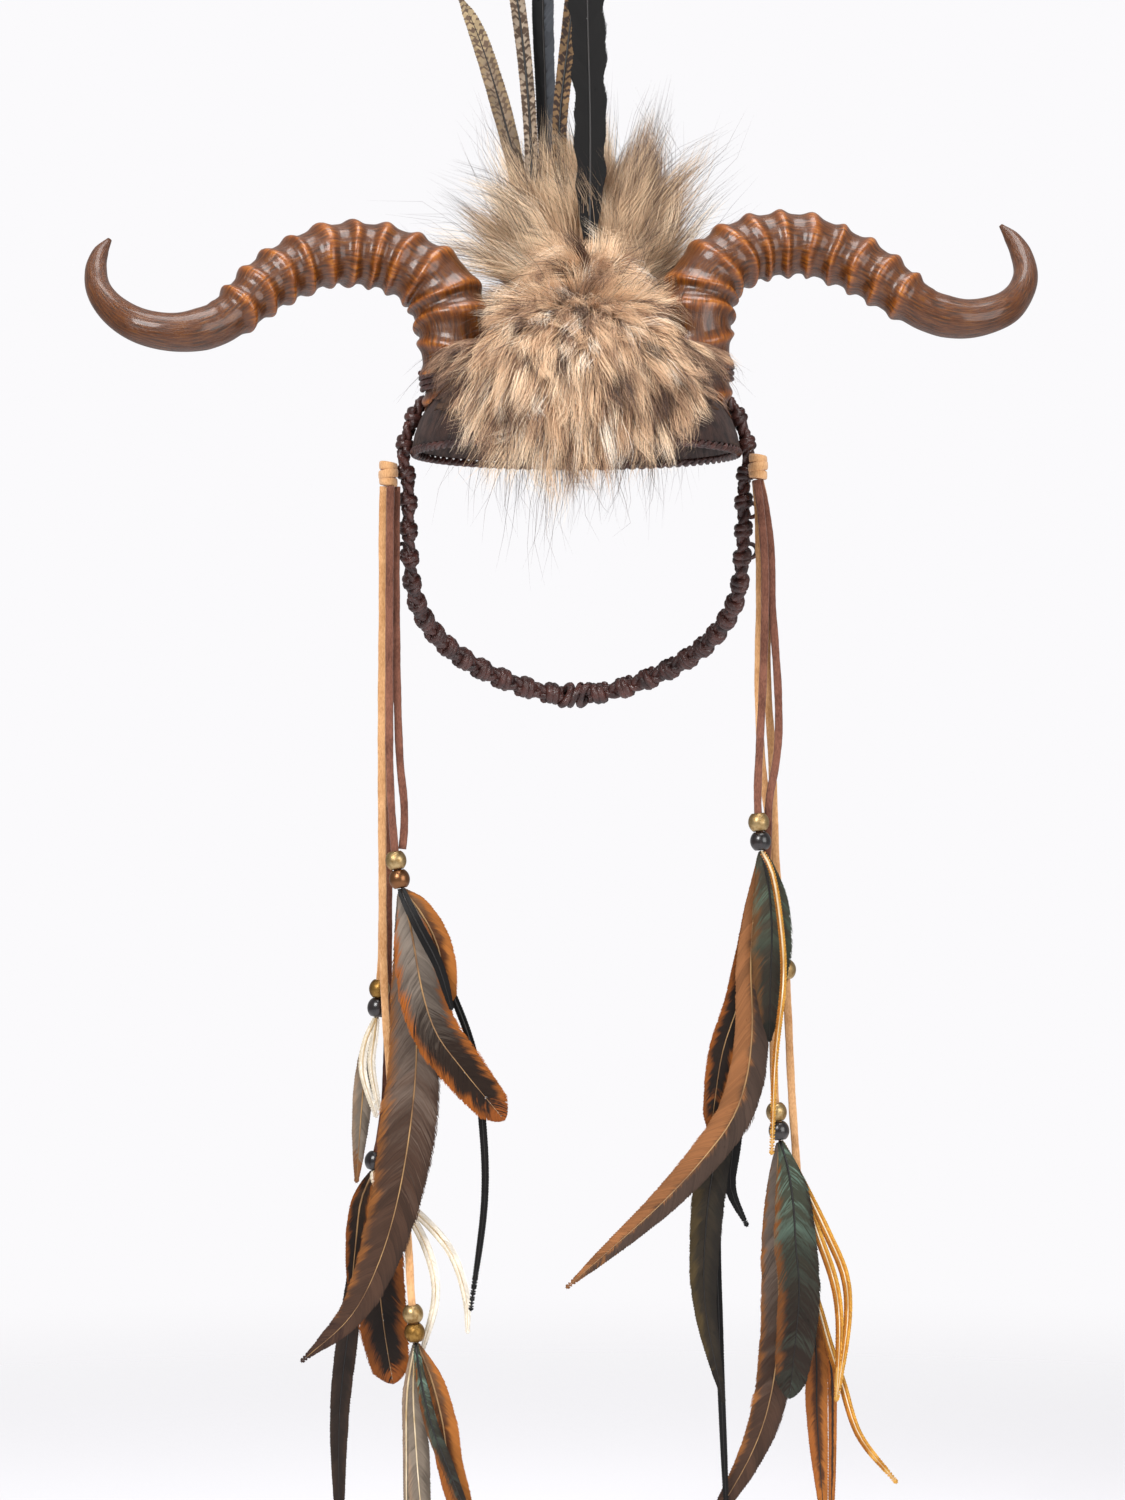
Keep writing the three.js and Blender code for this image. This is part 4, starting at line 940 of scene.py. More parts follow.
@dataclass
class Horn:
    """A ringed, curled horn on the cap."""

    side: int
    tilt: float
    swing: float
    lift: float
    spread: float = 100.8
    seat_back: float = -12
    seat_drop: float = 10
    reach: float = 150
    girth: float = 33
    rings: int = 14
    ring_depth: float = 1.5
    ringed_share: float = 0.62
    sides: int = 44
    foot: float = -8
    socket_share: float = 0.5
    wrap_from: float = 0.045
    wrap_turns: int = 3
    wrap_cord: float = 1.2
    wavers: int = 6
    waver_rate: float = 110
    waver_depth: float = 0.09

    rows = (
        (-0.01, -0.15, 0, 0.86), (0, 0, 0, 0.92), (0, 0.077, 0, 1), (0.02, 0.149, 0.02, 0.99),
        (0.052, 0.212, 0.03, 0.95), (0.109, 0.255, 0.04, 0.9), (0.171, 0.285, 0.05, 0.87),
        (0.225, 0.3, 0.05, 0.87), (0.291, 0.305, 0.04, 0.86), (0.36, 0.297, 0.02, 0.83),
        (0.431, 0.268, 0, 0.8), (0.49, 0.232, -0.03, 0.77), (0.545, 0.187, -0.06, 0.73),
        (0.597, 0.135, -0.09, 0.67), (0.66, 0.088, -0.12, 0.57), (0.75, 0.064, -0.15, 0.5),
        (0.856, 0.081, -0.15, 0.44), (0.931, 0.125, -0.11, 0.385), (0.983, 0.189, -0.06, 0.325),
        (0.999, 0.257, 0, 0.28), (0.99, 0.308, 0.04, 0.2), (0.968, 0.345, 0.06, 0.06),
    )

    @property
    def name(self) -> str:
        """The horn's CAD node."""
        return "horn_left" if self.side < 0 else "horn_right"

    def route(self) -> Route:
        """The horn's centre line."""
        tilt, swing = math.radians(self.tilt), math.radians(self.swing)
        points = []
        for out, rise, back, _ in self.rows:
            x, y, z = out * self.reach, back * self.reach, rise * self.reach
            x, z = x * math.cos(tilt) - z * math.sin(tilt), x * math.sin(tilt) + z * math.cos(tilt)
            x, y = x * math.cos(swing) - y * math.sin(swing), x * math.sin(swing) + y * math.cos(swing)
            across = self.side * (x + self.spread / 2)
            points.append((across, y + self.seat_back, z - self.seat_drop + self.lift))
        return Route(np.array(points))

    def radius(self, route: Route, along: np.ndarray) -> np.ndarray:
        """The horn's radius without its rings, at distances along its centre line."""
        girths = [row[3] for row in self.rows]
        return np.interp(route.row_place(along), range(len(girths)), girths) * self.girth / 2

    def lower_part(self) -> tuple[np.ndarray, np.ndarray]:
        """The middles and the radii of the horn's lower part, which the fur keeps clear of."""
        route = self.route()
        along = np.linspace(0, route.length * self.socket_share, 26)
        return route.at(along)[0], self.radius(route, along)

    def ring_height(self, route: Route, along: np.ndarray, turns: np.ndarray) -> np.ndarray:
        """How high the rings stand, from 0 in a valley to 1 on a crest.

        Args:
            route: The horn's centre line.
            along: Distances along it in millimetres.
            turns: Angles around it.

        Returns:
            The height at each pair of distance and angle.
        """
        ringed = route.length * self.ringed_share
        skew = 0.12 * np.sin(turns + 0.8 * self.side) + 0.05 * np.sin(3 * turns + along * 0.07)
        place = along / ringed * self.rings + skew
        crest = (0.5 - 0.5 * np.cos(2 * math.pi * place)) ** 1.9
        return crest * np.clip((ringed * 1.03 - along) / (ringed * 0.07), 0, 1)

    def ridged(self, route: Route, along: np.ndarray) -> np.ndarray:
        """The horn's radius with its rings, for each distance along it and each of its sides."""
        turns = np.arange(self.sides) / self.sides * 2 * math.pi
        height = self.ring_height(route, along[:, None], turns[None])
        ringed = route.length * self.ringed_share
        sunk = np.clip((ringed * 1.08 - along) / (ringed * 0.1), 0, 1)[:, None]
        return self.radius(route, along)[:, None] + self.ring_depth * (1.35 * height - sunk)

    def build(self, head: Head) -> None:
        """Builds the horn over its CAD node, and the cord wound round its foot.

        Args:
            head: The cap that it stands on.
        """
        route = self.route()
        ringed = route.length * self.ringed_share
        rings = np.linspace(self.foot, ringed, self.rings * 14)
        stations = np.concatenate((rings, np.linspace(ringed, route.length, 60)[1:]))
        mesh = bmesh.new()
        halves = (lambda along: (self.ridged(route, along),) * 2)
        layer = mesh.verts.layers.float.new("ring_height")
        places = Loft(route, stations, halves, steady(FORWARD), self.sides).into(mesh)
        for corner, (side, along) in places.items():
            turn = np.float64(side / self.sides * 2 * math.pi)
            corner[layer] = float(self.ring_height(route, np.float64(along), turn))
        self._waver(mesh)
        for corner in mesh.verts:
            corner.co.z = max(corner.co.z, head.roof(corner.co.x / MM, corner.co.y / MM) * MM)
        finish_piece(from_bmesh(f"{self.name}_cast", mesh), Look.HORN, (self.name,))
        self.build_wrap(route)

    def build_wrap(self, route: Route) -> None:
        """Winds thin leather cord round the horn's foot, where it meets the cap."""
        mesh = bmesh.new()
        turn = np.linspace(0, 2 * math.pi * self.wrap_turns, 40 * self.wrap_turns)
        at = route.length * self.wrap_from + turn / (2 * math.pi) * self.wrap_cord * 1.9
        points, tangents = route.at(at)
        across, fronts = sides_of(tangents, np.broadcast_to(FORWARD, points.shape))
        out = self.radius(route, at) - self.ring_depth * 0.6 + self.wrap_cord * 0.5
        line = points + across * (out * np.cos(turn))[:, None] + fronts * (out * np.sin(turn))[:, None]
        winding = Route(line)
        stations = np.linspace(0, winding.length, 260)
        Loft(winding, stations, even(self.wrap_cord), steady(np.array((0.3, 0.8, 0.5))), 8).into(mesh)
        finish_piece(from_bmesh(f"{self.name}_wrap", mesh), Look.CORD)

    def _waver(self, mesh: bmesh.types.BMesh) -> None:
        """Gives the rings the small unevenness of grown horn."""
        draw = np.random.default_rng(5 + self.side)
        ways = draw.normal(size=(self.wavers, 3)) * self.waver_rate
        starts = draw.uniform(0, 2 * math.pi, self.wavers)
        mesh.normal_update()
        for corner in mesh.verts:
            place = np.array(corner.co)
            depth = float(np.sin(ways @ place + starts).sum()) * self.waver_depth
            corner.co += corner.normal * depth * MM


@dataclass
class Strap:
    """A knotted leather cord from the side of the cap to the nape."""

    side: int
    head: Head
    width: float = 7.6
    thickness: float = 6.2
    drop: float = 148
    clearance: float = 0.9
    strand: float = 1.7
    strands: int = 3
    braid_pitch: float = 17
    knot_pitch: float = 12
    first_knot: float = 9
    loop_radius: float = 3
    loop_cord: float = 0.95
    loops: tuple[float, ...] = ()

    rows = (
        (3, 0.165, 1), (3, 0.225, 1), (3, 0.285, 1), (3, 0.335, 1), (4, 0.405, 0), (5, 0.507, 0),
        (8, 0.608, 0), (14, 0.71, 0), (27, 0.8, 0), (43, 0.88, 0), (61, 0.946, 0), (76, 0.986, 0), (86, 1, 0),
    )

    @property
    def name(self) -> str:
        """The strap's CAD node."""
        return "strap_left" if self.side < 0 else "strap_right"

    def route(self) -> Route:
        """The middle of the strap, which follows the cap and then the head."""
        points = []
        for around, share, over in self.rows:
            off = self.thickness / 2 + (self.head.wall + GAP if over else self.clearance)
            fall = share * self.drop
            climb = max(0.0, self.head.rise - fall) / (self.head.rise + off)
            reach = math.sqrt(1 - climb * climb)
            angle = math.radians(around)
            points.append((self.side * (self.head.breadth / 2 + off) * reach * math.cos(angle),
                           (self.head.depth / 2 + off) * reach * math.sin(angle), -fall))
        return Route(np.array(points))

    def build(self) -> None:
        """Builds the braid, its wrapping knots, its loops and the knot at the nape."""
        route = self.route()
        mesh = bmesh.new()
        along = np.arange(0, route.length, 0.9)
        points, tangents = route.at(along)
        across, fronts = sides_of(tangents, away_from_head(points))
        swell = 0.86 + 0.16 * np.cos(along / self.knot_pitch * 2 * math.pi)
        for strand in range(self.strands):
            turn = (along / self.braid_pitch + strand / self.strands) * 2 * math.pi
            x = (self.width / 2 - self.strand * 0.85) * swell * np.sin(turn)
            y = (self.thickness / 2 - self.strand) * swell * np.sin(2 * turn)
            line = points + across * x[:, None] + fronts * y[:, None]
            self._tube(mesh, Route(line[::2]), self.strand, 8)
        self._tube(mesh, Route(points[::6]), self.strand * 0.9, 8)
        for middle in np.arange(self.first_knot, route.length - self.knot_pitch / 3, self.knot_pitch):
            self._wrap(mesh, route, middle)
        for share in self.loops:
            self._loop(mesh, route, share * route.length)
        if self.side > 0:
            self._nape_knot(mesh, route)
        finish_piece(from_bmesh(f"{self.name}_knotted", mesh), Look.CORD, (self.name,))

    @staticmethod
    def _tube(mesh: bmesh.types.BMesh, route: Route, radius: float, sides: int, step: float = 1.5) -> None:
        """Adds a round strand along a route."""
        stations = np.linspace(0, route.length, max(4, round(route.length / step)))
        Loft(route, stations, even(radius), steady(np.array((0.31, 0.83, 0.46))), sides).into(mesh)

    def _wrap(self, mesh: bmesh.types.BMesh, route: Route, middle: float) -> None:
        """Winds two turns of cord round the braid, as a hitch does."""
        turn = np.linspace(0, 4 * math.pi, 34)
        at = middle + (turn / turn[-1] - 0.5) * self.strand * 2.9
        points, tangents = route.at(at)
        across, fronts = sides_of(tangents, away_from_head(points))
        wide, deep = self.width / 2 - 0.7, self.thickness / 2 - 0.9
        line = points + across * (wide * np.cos(turn))[:, None] + fronts * (deep * np.sin(turn))[:, None]
        self._tube(mesh, Route(line), self.strand * 1.12, 9, 1.2)

    def _loop(self, mesh: bmesh.types.BMesh, route: Route, middle: float) -> None:
        """Adds an open loop that stands out of the braid."""
        centre, _ = route.at(np.array([middle]))
        outward = away_from_head(centre)[0]
        turn = np.linspace(0, 2 * math.pi, 26)
        ring = np.outer(np.cos(turn), outward) + np.outer(np.sin(turn), UP)
        line = centre[0] + outward * self.thickness / 2 + ring * self.loop_radius
        self._tube(mesh, Route(line), self.loop_cord, 8, 0.9)

    def _nape_knot(self, mesh: bmesh.types.BMesh, route: Route) -> None:
        """Adds the knot that joins the two straps at the nape: three crossed turns of cord."""
        centre, _ = route.at(np.array([route.length]))
        middle = np.array((0.0, centre[0, 1] + self.thickness * 0.2, centre[0, 2]))
        turn = np.linspace(0, 2 * math.pi, 30)
        wide, deep, high = centre[0, 0] + self.thickness * 0.15, 3.4, 4.2
        for lean in (-0.7, 0.0, 0.7):
            line = np.stack((wide * (lean + 0.4 * np.cos(turn)), deep * np.sin(turn),
                             high * np.cos(turn + lean)), axis=1)
            self._tube(mesh, Route(middle + line), self.strand, 8, 1.0)


@dataclass
class LaceKnot:
    """The wound knot that a side's laces hang from."""

    node: str
    turns: int = 3

    def build(self) -> None:
        """Winds flat suede turns round the CAD knot's own place."""
        low, high = (np.array(corner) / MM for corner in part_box(self.node))
        centre, half = (low + high) / 2, (high - low) / 2
        mesh = bmesh.new()
        band = half[2] / self.turns
        for index in range(self.turns):
            turn = np.linspace(0, 2 * math.pi, 48)
            level = centre[2] + (index - (self.turns - 1) / 2) * band * 1.9
            lean = 0.28 * band * (1 if index % 2 else -1)
            shrink = 1.0 - 0.1 * abs(index - (self.turns - 1) / 2)
            line = np.stack((centre[0] + (half[0] - 1.1) * shrink * np.cos(turn),
                             centre[1] + (half[1] - 1.1) * shrink * np.sin(turn),
                             level + lean * np.cos(turn)), axis=1)
            route = Route(line)
            stations = np.linspace(0, route.length, 60)
            Loft(route, stations, even(band * 1.12, 1.05), away_from(centre), 12, 1.6).into(mesh)
        core = Route(np.array((centre - UP * half[2] * 0.9, centre, centre + UP * half[2] * 0.9)))
        inner = even(half[0] - 1.6, half[1] - 1.6)
        Loft(core, np.linspace(0, core.length, 8), inner, steady(FORWARD), 20).into(mesh)
        finish_piece(from_bmesh(f"{self.node}_wound", mesh), Look.SUEDE_TAN, (self.node,))


@dataclass
class Bead:
    """A round bead threaded on a lace."""

    node: str
    look: Look
    centre: np.ndarray
    way: np.ndarray
    diameter: float = 8.8
    height: float = 7.6
    bore: float = 4.6
    shoulder: float = 54

    def build(self) -> bpy.types.Object:
        """Spins the bead's profile round its bore and turns it to its lace."""
        half = self.height / 2
        inner, outer = self.bore / 2, self.diameter / 2
        shoulder = math.radians(self.shoulder)
        arc = [(outer * math.cos(a), half * math.sin(a) / math.sin(shoulder))
               for a in np.linspace(-shoulder, shoulder, 13)]
        rim = [(inner + 0.25, half), (inner, half - 0.3), (inner, -half + 0.3), (inner + 0.25, -half)]
        mesh = turned(arc + rim, 28, True, 0.01)
        turn = Vector(UP).rotation_difference(Vector(self.way)).to_matrix().to_4x4()
        place = Matrix.Translation(Vector(self.centre) * MM) @ turn
        bmesh.ops.transform(mesh, verts=mesh.verts, matrix=place)
        return finish_piece(from_bmesh(f"{self.node}_round", mesh), self.look, (self.node,))


@dataclass
class Lace:
    """A flat suede lace that hangs from its knot, with the beads on its end."""

    name: str
    look: Look
    beads: tuple[Look, ...]
    points: tuple[tuple[float, float, float], ...]
    passing: tuple[Look, float] | None = None
    width: float = 3.3
    thickness: float = 1.6
    bead_height: float = 7.6
    station_step: float = 2.4

    def route(self) -> Route:
        """The lace's middle line."""
        return Route(np.array(self.points))

    def build(self) -> None:
        route = self.route()
        mesh = bmesh.new()
        stations = np.linspace(0, route.length, round(route.length / self.station_step))
        halves = (lambda at: (self._edge(at), np.full(at.shape, self.thickness / 2)))
        Loft(route, stations, halves, steady(FORWARD), 12, 1.9).into(mesh)
        lace = from_bmesh(f"{self.name}_suede", mesh)
        finish_piece(lace, self.look, (self.name,))
        beads = self._thread(route)
        path, _ = route.at(stations)

    def _edge(self, along: np.ndarray) -> np.ndarray:
        """The lace's half width, a little uneven as cut suede is."""
        return self.width / 2 * (1 + 0.035 * np.sin(along * 0.31) + 0.025 * np.sin(along * 1.13 + 1))

    def _thread(self, route: Route) -> list[bpy.types.Object]:
        """Threads the beads at the lace's end, and the single one further up."""
        made = []
        stem = self.name.replace("lace", "bead")
        pitch = self.bead_height + GAP
        for index, look in enumerate(self.beads):
            from_end = self.bead_height / 2 + (len(self.beads) - 1 - index) * pitch
            node = stem + ("_upper", "_lower")[index] if len(self.beads) > 1 else stem
            made.append(self._bead(route, node, look, route.length - from_end))
        if self.passing:
            look, share = self.passing
            made.append(self._bead(route, stem, look, share * route.length))
        return made

    @staticmethod
    def _bead(route: Route, node: str, look: Look, along: float) -> bpy.types.Object:
        """Builds one bead at a distance along the lace."""
        point, way = route.at(np.array([along]))
        return Bead(node, look, point[0], -way[0]).build()


LACES = (
    Lace("lace_left_tan", Look.SUEDE_TAN, (Look.BRASS, Look.BRASS_DARK), (
        (-80.6, -2.7, -61.6), (-81.1, -2.6, -76), (-81.1, -2.4, -109), (-81.5, -2.2, -151),
        (-81.5, -2, -193), (-81.1, -2, -235), (-80.2, -2, -277), (-77.7, -2, -311),
        (-74.3, -2, -344), (-70.6, -2, -376), (-69.3, -2, -399), (-68.5, -2, -408),
        (-67.3, -2, -420.4))),
    Lace("lace_left_brown", Look.SUEDE_BROWN, (Look.BRASS, Look.COPPER), (
        (-77.7, -5, -61.6), (-77.9, -5.3, -76), (-78.1, -6.2, -109), (-78.1, -8.4, -151),
        (-78, -9.6, -173), (-77.3, -10.6, -193), (-76, -11.4, -210), (-75.2, -11.7, -218),
        (-73.8, -12, -225.5), (-73.1, -12, -229.8))),
    Lace("lace_left_brown_second", Look.SUEDE_BROWN, (), (
        (-75.4, -0.4, -61.6), (-75.5, -0.6, -76), (-75.5, -2, -109), (-74.8, -4.6, -151),
        (-73.6, -6.6, -178), (-71.9, -8, -195), (-71.9, -8.8, -206), (-72.6, -9.2, -213.6))),
    Lace("lace_left_rear", Look.SUEDE_TAN, (Look.BRASS_DARK, Look.BLACK_WOOD), (
        (-80.9, 1.9, -61.6), (-81.1, 1.9, -76), (-81.3, 2.1, -109), (-81.5, 3, -151),
        (-81.5, 3.8, -193), (-81.5, 4.3, -235), (-81.8, 4.5, -258), (-82.5, 4.5, -270),
        (-83.3, 4.5, -279), (-83.9, 4.5, -284.4))),
    Lace("lace_left_low", Look.SUEDE_BROWN, (Look.BLACK_WOOD,), (
        (-77.4, 4.2, -61.6), (-77.6, 4.5, -76), (-78.2, 6, -109), (-78.6, 8, -151),
        (-78.9, 9.6, -193), (-79.2, 11, -235), (-79.5, 11.5, -277), (-80.6, 11.5, -319),
        (-83, 11.5, -337), (-85, 11.5, -346), (-85.4, 11.5, -349.6))),
    Lace("lace_right_tan", Look.SUEDE_TAN, (), (
        (77.2, 0.1, -59.1), (79.2, 0.1, -68.5), (80, 0, -84), (80, -0.4, -109),
        (80.4, -1.2, -146), (81.8, -1.8, -168), (82.9, -2, -193), (83.8, -2, -218),
        (85.9, -1.6, -244), (88, -0.2, -264), (89.2, 2.2, -284), (90.2, 5.6, -303),
        (91.4, 8.8, -323), (92.9, 10.6, -343), (94.4, 11, -366), (95.4, 11, -386.4)),
        passing=(Look.BRASS, 0.626)),
    Lace("lace_right_tan_second", Look.SUEDE_TAN, (Look.BRASS, Look.BLACK_WOOD), (
        (75.6, 2.4, -59), (76.4, 2.4, -67.5), (77, 2.4, -84), (77.3, 2.4, -109),
        (76.7, 2.4, -142), (77.7, 2.4, -171), (79.4, 2.5, -189), (81.8, 3, -206),
        (82.7, 3.8, -223), (83, 4.8, -248), (82.7, 5, -277), (83.2, 4.6, -302),
        (84, 4.2, -321), (85.3, 4, -331), (85.8, 4, -336.2))),
    Lace("lace_right_brown", Look.SUEDE_BROWN, (Look.BRASS, Look.BLACK_WOOD), (
        (75.6, -4.5, -59), (77.2, -4.6, -70), (79, -4.9, -92), (79, -5.8, -118),
        (78, -7.6, -147), (76.6, -9.6, -172), (75.8, -11, -189), (76, -11.8, -200),
        (76.7, -12, -207), (77.3, -12, -214))),
    Lace("lace_right_brown_second", Look.SUEDE_BROWN, (), (
        (76.8, -2.2, -59.1), (79.6, -2.2, -71), (81.9, -2.4, -91), (82.1, -3, -109),
        (83.2, -3.8, -125), (84.6, -4.8, -147), (84.8, -5.4, -166), (83.6, -5.8, -178),
        (80.9, -6, -193), (80.2, -6, -211), (79, -5.2, -235), (76.9, -3.6, -256),
        (74.6, -2.3, -275), (73.9, -2, -281))),
)


class Outline(Enum):
    """Outlines of feathers: shares of the length, and widths as shares of the half width."""

    LEAF = ((0, 0.05, 0.2, 0.42, 0.7, 0.88, 0.96, 1), (0, 0.2, 0.8, 1, 0.97, 0.82, 0.66, 0.6))
    BLADE = ((0, 0.06, 0.25, 0.5, 0.7, 0.87, 1), (0, 0.35, 0.85, 1, 0.8, 0.45, 0.05))
    STRIP = ((0, 0.1, 0.5, 0.85, 1), (0.5, 0.8, 1, 0.7, 0.15))
    TALL = ((0, 0.05, 0.16, 0.5, 0.8, 0.93, 1), (0, 0.2, 0.8, 1, 0.9, 0.6, 0.06))

    def width(self, shares: np.ndarray) -> np.ndarray:
        """The outline's width at shares of the length, rounded between its rows."""
        places, widths = self.value
        around = [np.clip(shares + shift, 0, 1) for shift in np.linspace(-EDGE_SOFTNESS, EDGE_SOFTNESS, 5)]
        widened = np.mean([np.interp(place, places, widths) for place in around], axis=0)
        return widened * np.sqrt(np.clip((1 - shares) / TIP_ROUND, 0, 1))


@dataclass
class Vane:
    """One feather: a shaft, and barbs on both sides that make its vane.

    Its run is in shares of the length, aside and along; right is the share of its width at one
    side, and wave how far its edges swing in and out.
    """

    outline: Outline
    length: float
    width: float
    run: tuple[tuple[float, float], ...]
    right: float = 0.5
    quill: float = 1.0
    barb_pitch: float = 0.36
    barb_angle: float = 34
    looseness: float = 0.5
    wave: float = 0.0

    clump_length = 6
    under_pitch = 3.5
    steps = np.array((0.0, 0.36, 0.7, 1.0))
    thinning = np.array((0.8, 1.0, 0.95))

    def barbs(self, route: Route, facing: np.ndarray, draw: np.random.Generator) -> tuple[np.ndarray, ...]:
        """Lays out the barbs of both sides.

        Args:
            route: The feather's shaft.
            facing: The way that the feather's front looks.
            draw: The source of its small irregularities.

        Returns:
            Centres, half width vectors, vane map and barb map, ready for strips.
        """
        parts = [self._one_side(route, facing, draw, side, share, under) for under in (True, False)
                 for side, share in ((1, self.right), (-1, 1 - self.right))]
        return tuple(np.concatenate(group) for group in zip(*parts))

    def _one_side(self, route: Route, facing: np.ndarray, draw: np.random.Generator,
                  side: int, share: float, under: bool) -> tuple[np.ndarray, ...]:
        """Lays out the barbs of one side of the vane, or the broad layer behind them, toned darker as painted
        shade.
        """
        length = route.length
        loose = 0 if under else self.looseness
        pitch = self.barb_pitch * (self.under_pitch if under else 1)
        tips = np.linspace(length * 0.015, length * (0.985 if under else 1), max(18, int(length / pitch)))
        rounding = length * (1 - 0.07 * np.linspace(0.05, 1, 8 if under else 24) ** 2)
        tips = np.sort(np.concatenate((tips, rounding)))
        count = len(tips)
        clumps = max(6, int(length / self.clump_length))
        clump = np.minimum((tips / length * clumps).astype(int), clumps - 1)
        lean = draw.normal(0, 1, clumps)[clump]
        reach = self.outline.width(tips / length) * self.width * share * (0.94 if under else 1)
        reach = reach * (1 + self.wave * np.sin(tips / 3.1 + 2 * side) * np.sin(tips / 11.0))
        reach = np.maximum(reach * (1 + 0.05 * loose * lean + draw.normal(0, 0.015, count)), 0.22)
        angle = np.radians(self.barb_angle + 4 * loose * lean)
        roots = np.clip(tips - reach / np.tan(angle), length * 0.01, None)
        split = (draw.random(clumps) < 0.2 * loose)[clump] * draw.uniform(0.5, 1.6, clumps)[clump]
        along = roots[:, None] + (tips - roots)[:, None] * self.steps**1.25 - split[:, None] * self.steps**2
        out = reach[:, None] * self.steps**0.92 + 0.1
        points, tangents = route.at(along)
        sideways, fronts = sides_of(tangents, np.broadcast_to(facing, points.shape))
        camber = -0.035 * out**2 / max(self.width, 4) + draw.normal(0, 0.035, (count, 1)) * self.steps
        camber -= 0.14 if under else 0
        centres = points + sideways * (side * out)[..., None] + fronts * camber[..., None]
        ways = np.gradient(centres, axis=1)
        ways /= np.linalg.norm(ways, axis=-1, keepdims=True)
        wide = np.cross(ways, fronts)
        spread = pitch * np.append(self.thinning, 0.5 if under else 0.35) * (0.85 if under else 0.62)
        halves = wide * spread[None, :, None]
        across = 0.5 + 0.5 * side * out / np.maximum(out.max(axis=1, keepdims=True), self.width * share * 0.6)
        vane = np.stack((np.clip(across, 0, 1), np.clip(along / length, 0, 1)), axis=-1)
        # The layer behind the barbs gets a lower tone: painted shade between the barbs.
        tone = np.clip((0.3 if under else 0.5) + 0.16 * lean + draw.normal(0, 0.12, count), 0, 1)
        chevron = along * 0.45 + tips[:, None] * 0.55
        barb = np.stack((np.broadcast_to(tone[:, None], along.shape), chevron), axis=-1)
        return centres, halves, vane, barb

    def shaft(self, mesh: bmesh.types.BMesh, route: Route, facing: np.ndarray) -> None:
        """Adds the tapered shaft to a bmesh."""
        stations = np.linspace(0, route.length * 0.985, max(10, int(route.length / 5)))
        halves = (lambda at: (self.quill / 2 * (1 - 0.82 * at / route.length),) * 2)
        Loft(route, stations, halves, steady(facing), 8).into(mesh)


@dataclass
class Feather:
    """A named feather, or a pair that is tied as one, hanging from a lace or standing in the fur."""

    name: str
    look: Look
    shaft_look: Look
    vanes: tuple[Vane, ...]
    seed: int = 0

    facing = FORWARD

    def routes(self) -> list[Route]:
        """The shafts of its vanes."""
        raise NotImplementedError

    def build(self) -> None:
        """Builds the vanes and the shafts over the CAD node."""
        draw = np.random.default_rng(101 + self.seed)
        mesh = bmesh.new()
        groups = []
        for vane, route in zip(self.vanes, self.routes()):
            groups.append(vane.barbs(route, self.facing, draw))
            vane.shaft(mesh, route, self.facing)
        centres, halves, vane_map, barb_map = (np.concatenate(group) for group in zip(*groups))
        plumes = strips(f"{self.name}_vane", centres, halves, {"vane": vane_map, "barb": barb_map})
        finish_piece(plumes, self.look, (self.name,))
        finish_piece(from_bmesh(f"{self.name}_shaft", mesh), self.shaft_look)


@dataclass
class HangingFeather(Feather):
    """A feather tied to the end of a lace; layer sets it before or behind the others there."""

    lace: str = ""
    layer: int = 0
    quill_pitch: float = 1.3
    layer_pitch: float = 2.4
    fan_share: float = 0.02
    spread_drop: float = 4.4

    def routes(self) -> list[Route]:
        """The shafts, which leave the lace's end in a row and spread out below."""
        end = next(lace for lace in LACES if lace.name == self.lace).points[-1]
        return [Route(np.array([self._point(end, vane, aside, down) for aside, down in ((0, 0), *vane.run)]))
                for vane in self.vanes]

    def _point(self, end: tuple[float, float, float], vane: Vane, aside: float, down: float) -> list[float]:
        """One point of a shaft, from its shares of the feather's length."""
        fall = down * vane.length
        spread = min(1.0, fall / self.spread_drop)
        pitch = self.quill_pitch + (self.layer_pitch - self.quill_pitch) * spread
        back = self.layer * (pitch + self.fan_share * fall)
        return [end[0] + aside * vane.length, end[1] + back, end[2] - GAP - fall]


@dataclass
class TallFeather(Feather):
    """A feather whose quill stands in the fur."""

    foot: tuple[float, float, float] = (0, 0, 0)

    facing = BACKWARD

    def routes(self) -> list[Route]:
        """The upright shaft."""
        vane = self.vanes[0]
        x, y, z = self.foot
        points = [(x + aside * vane.length, y, z + rise * vane.length) for aside, rise in ((0, 0), *vane.run)]
        return [Route(np.array(points))]


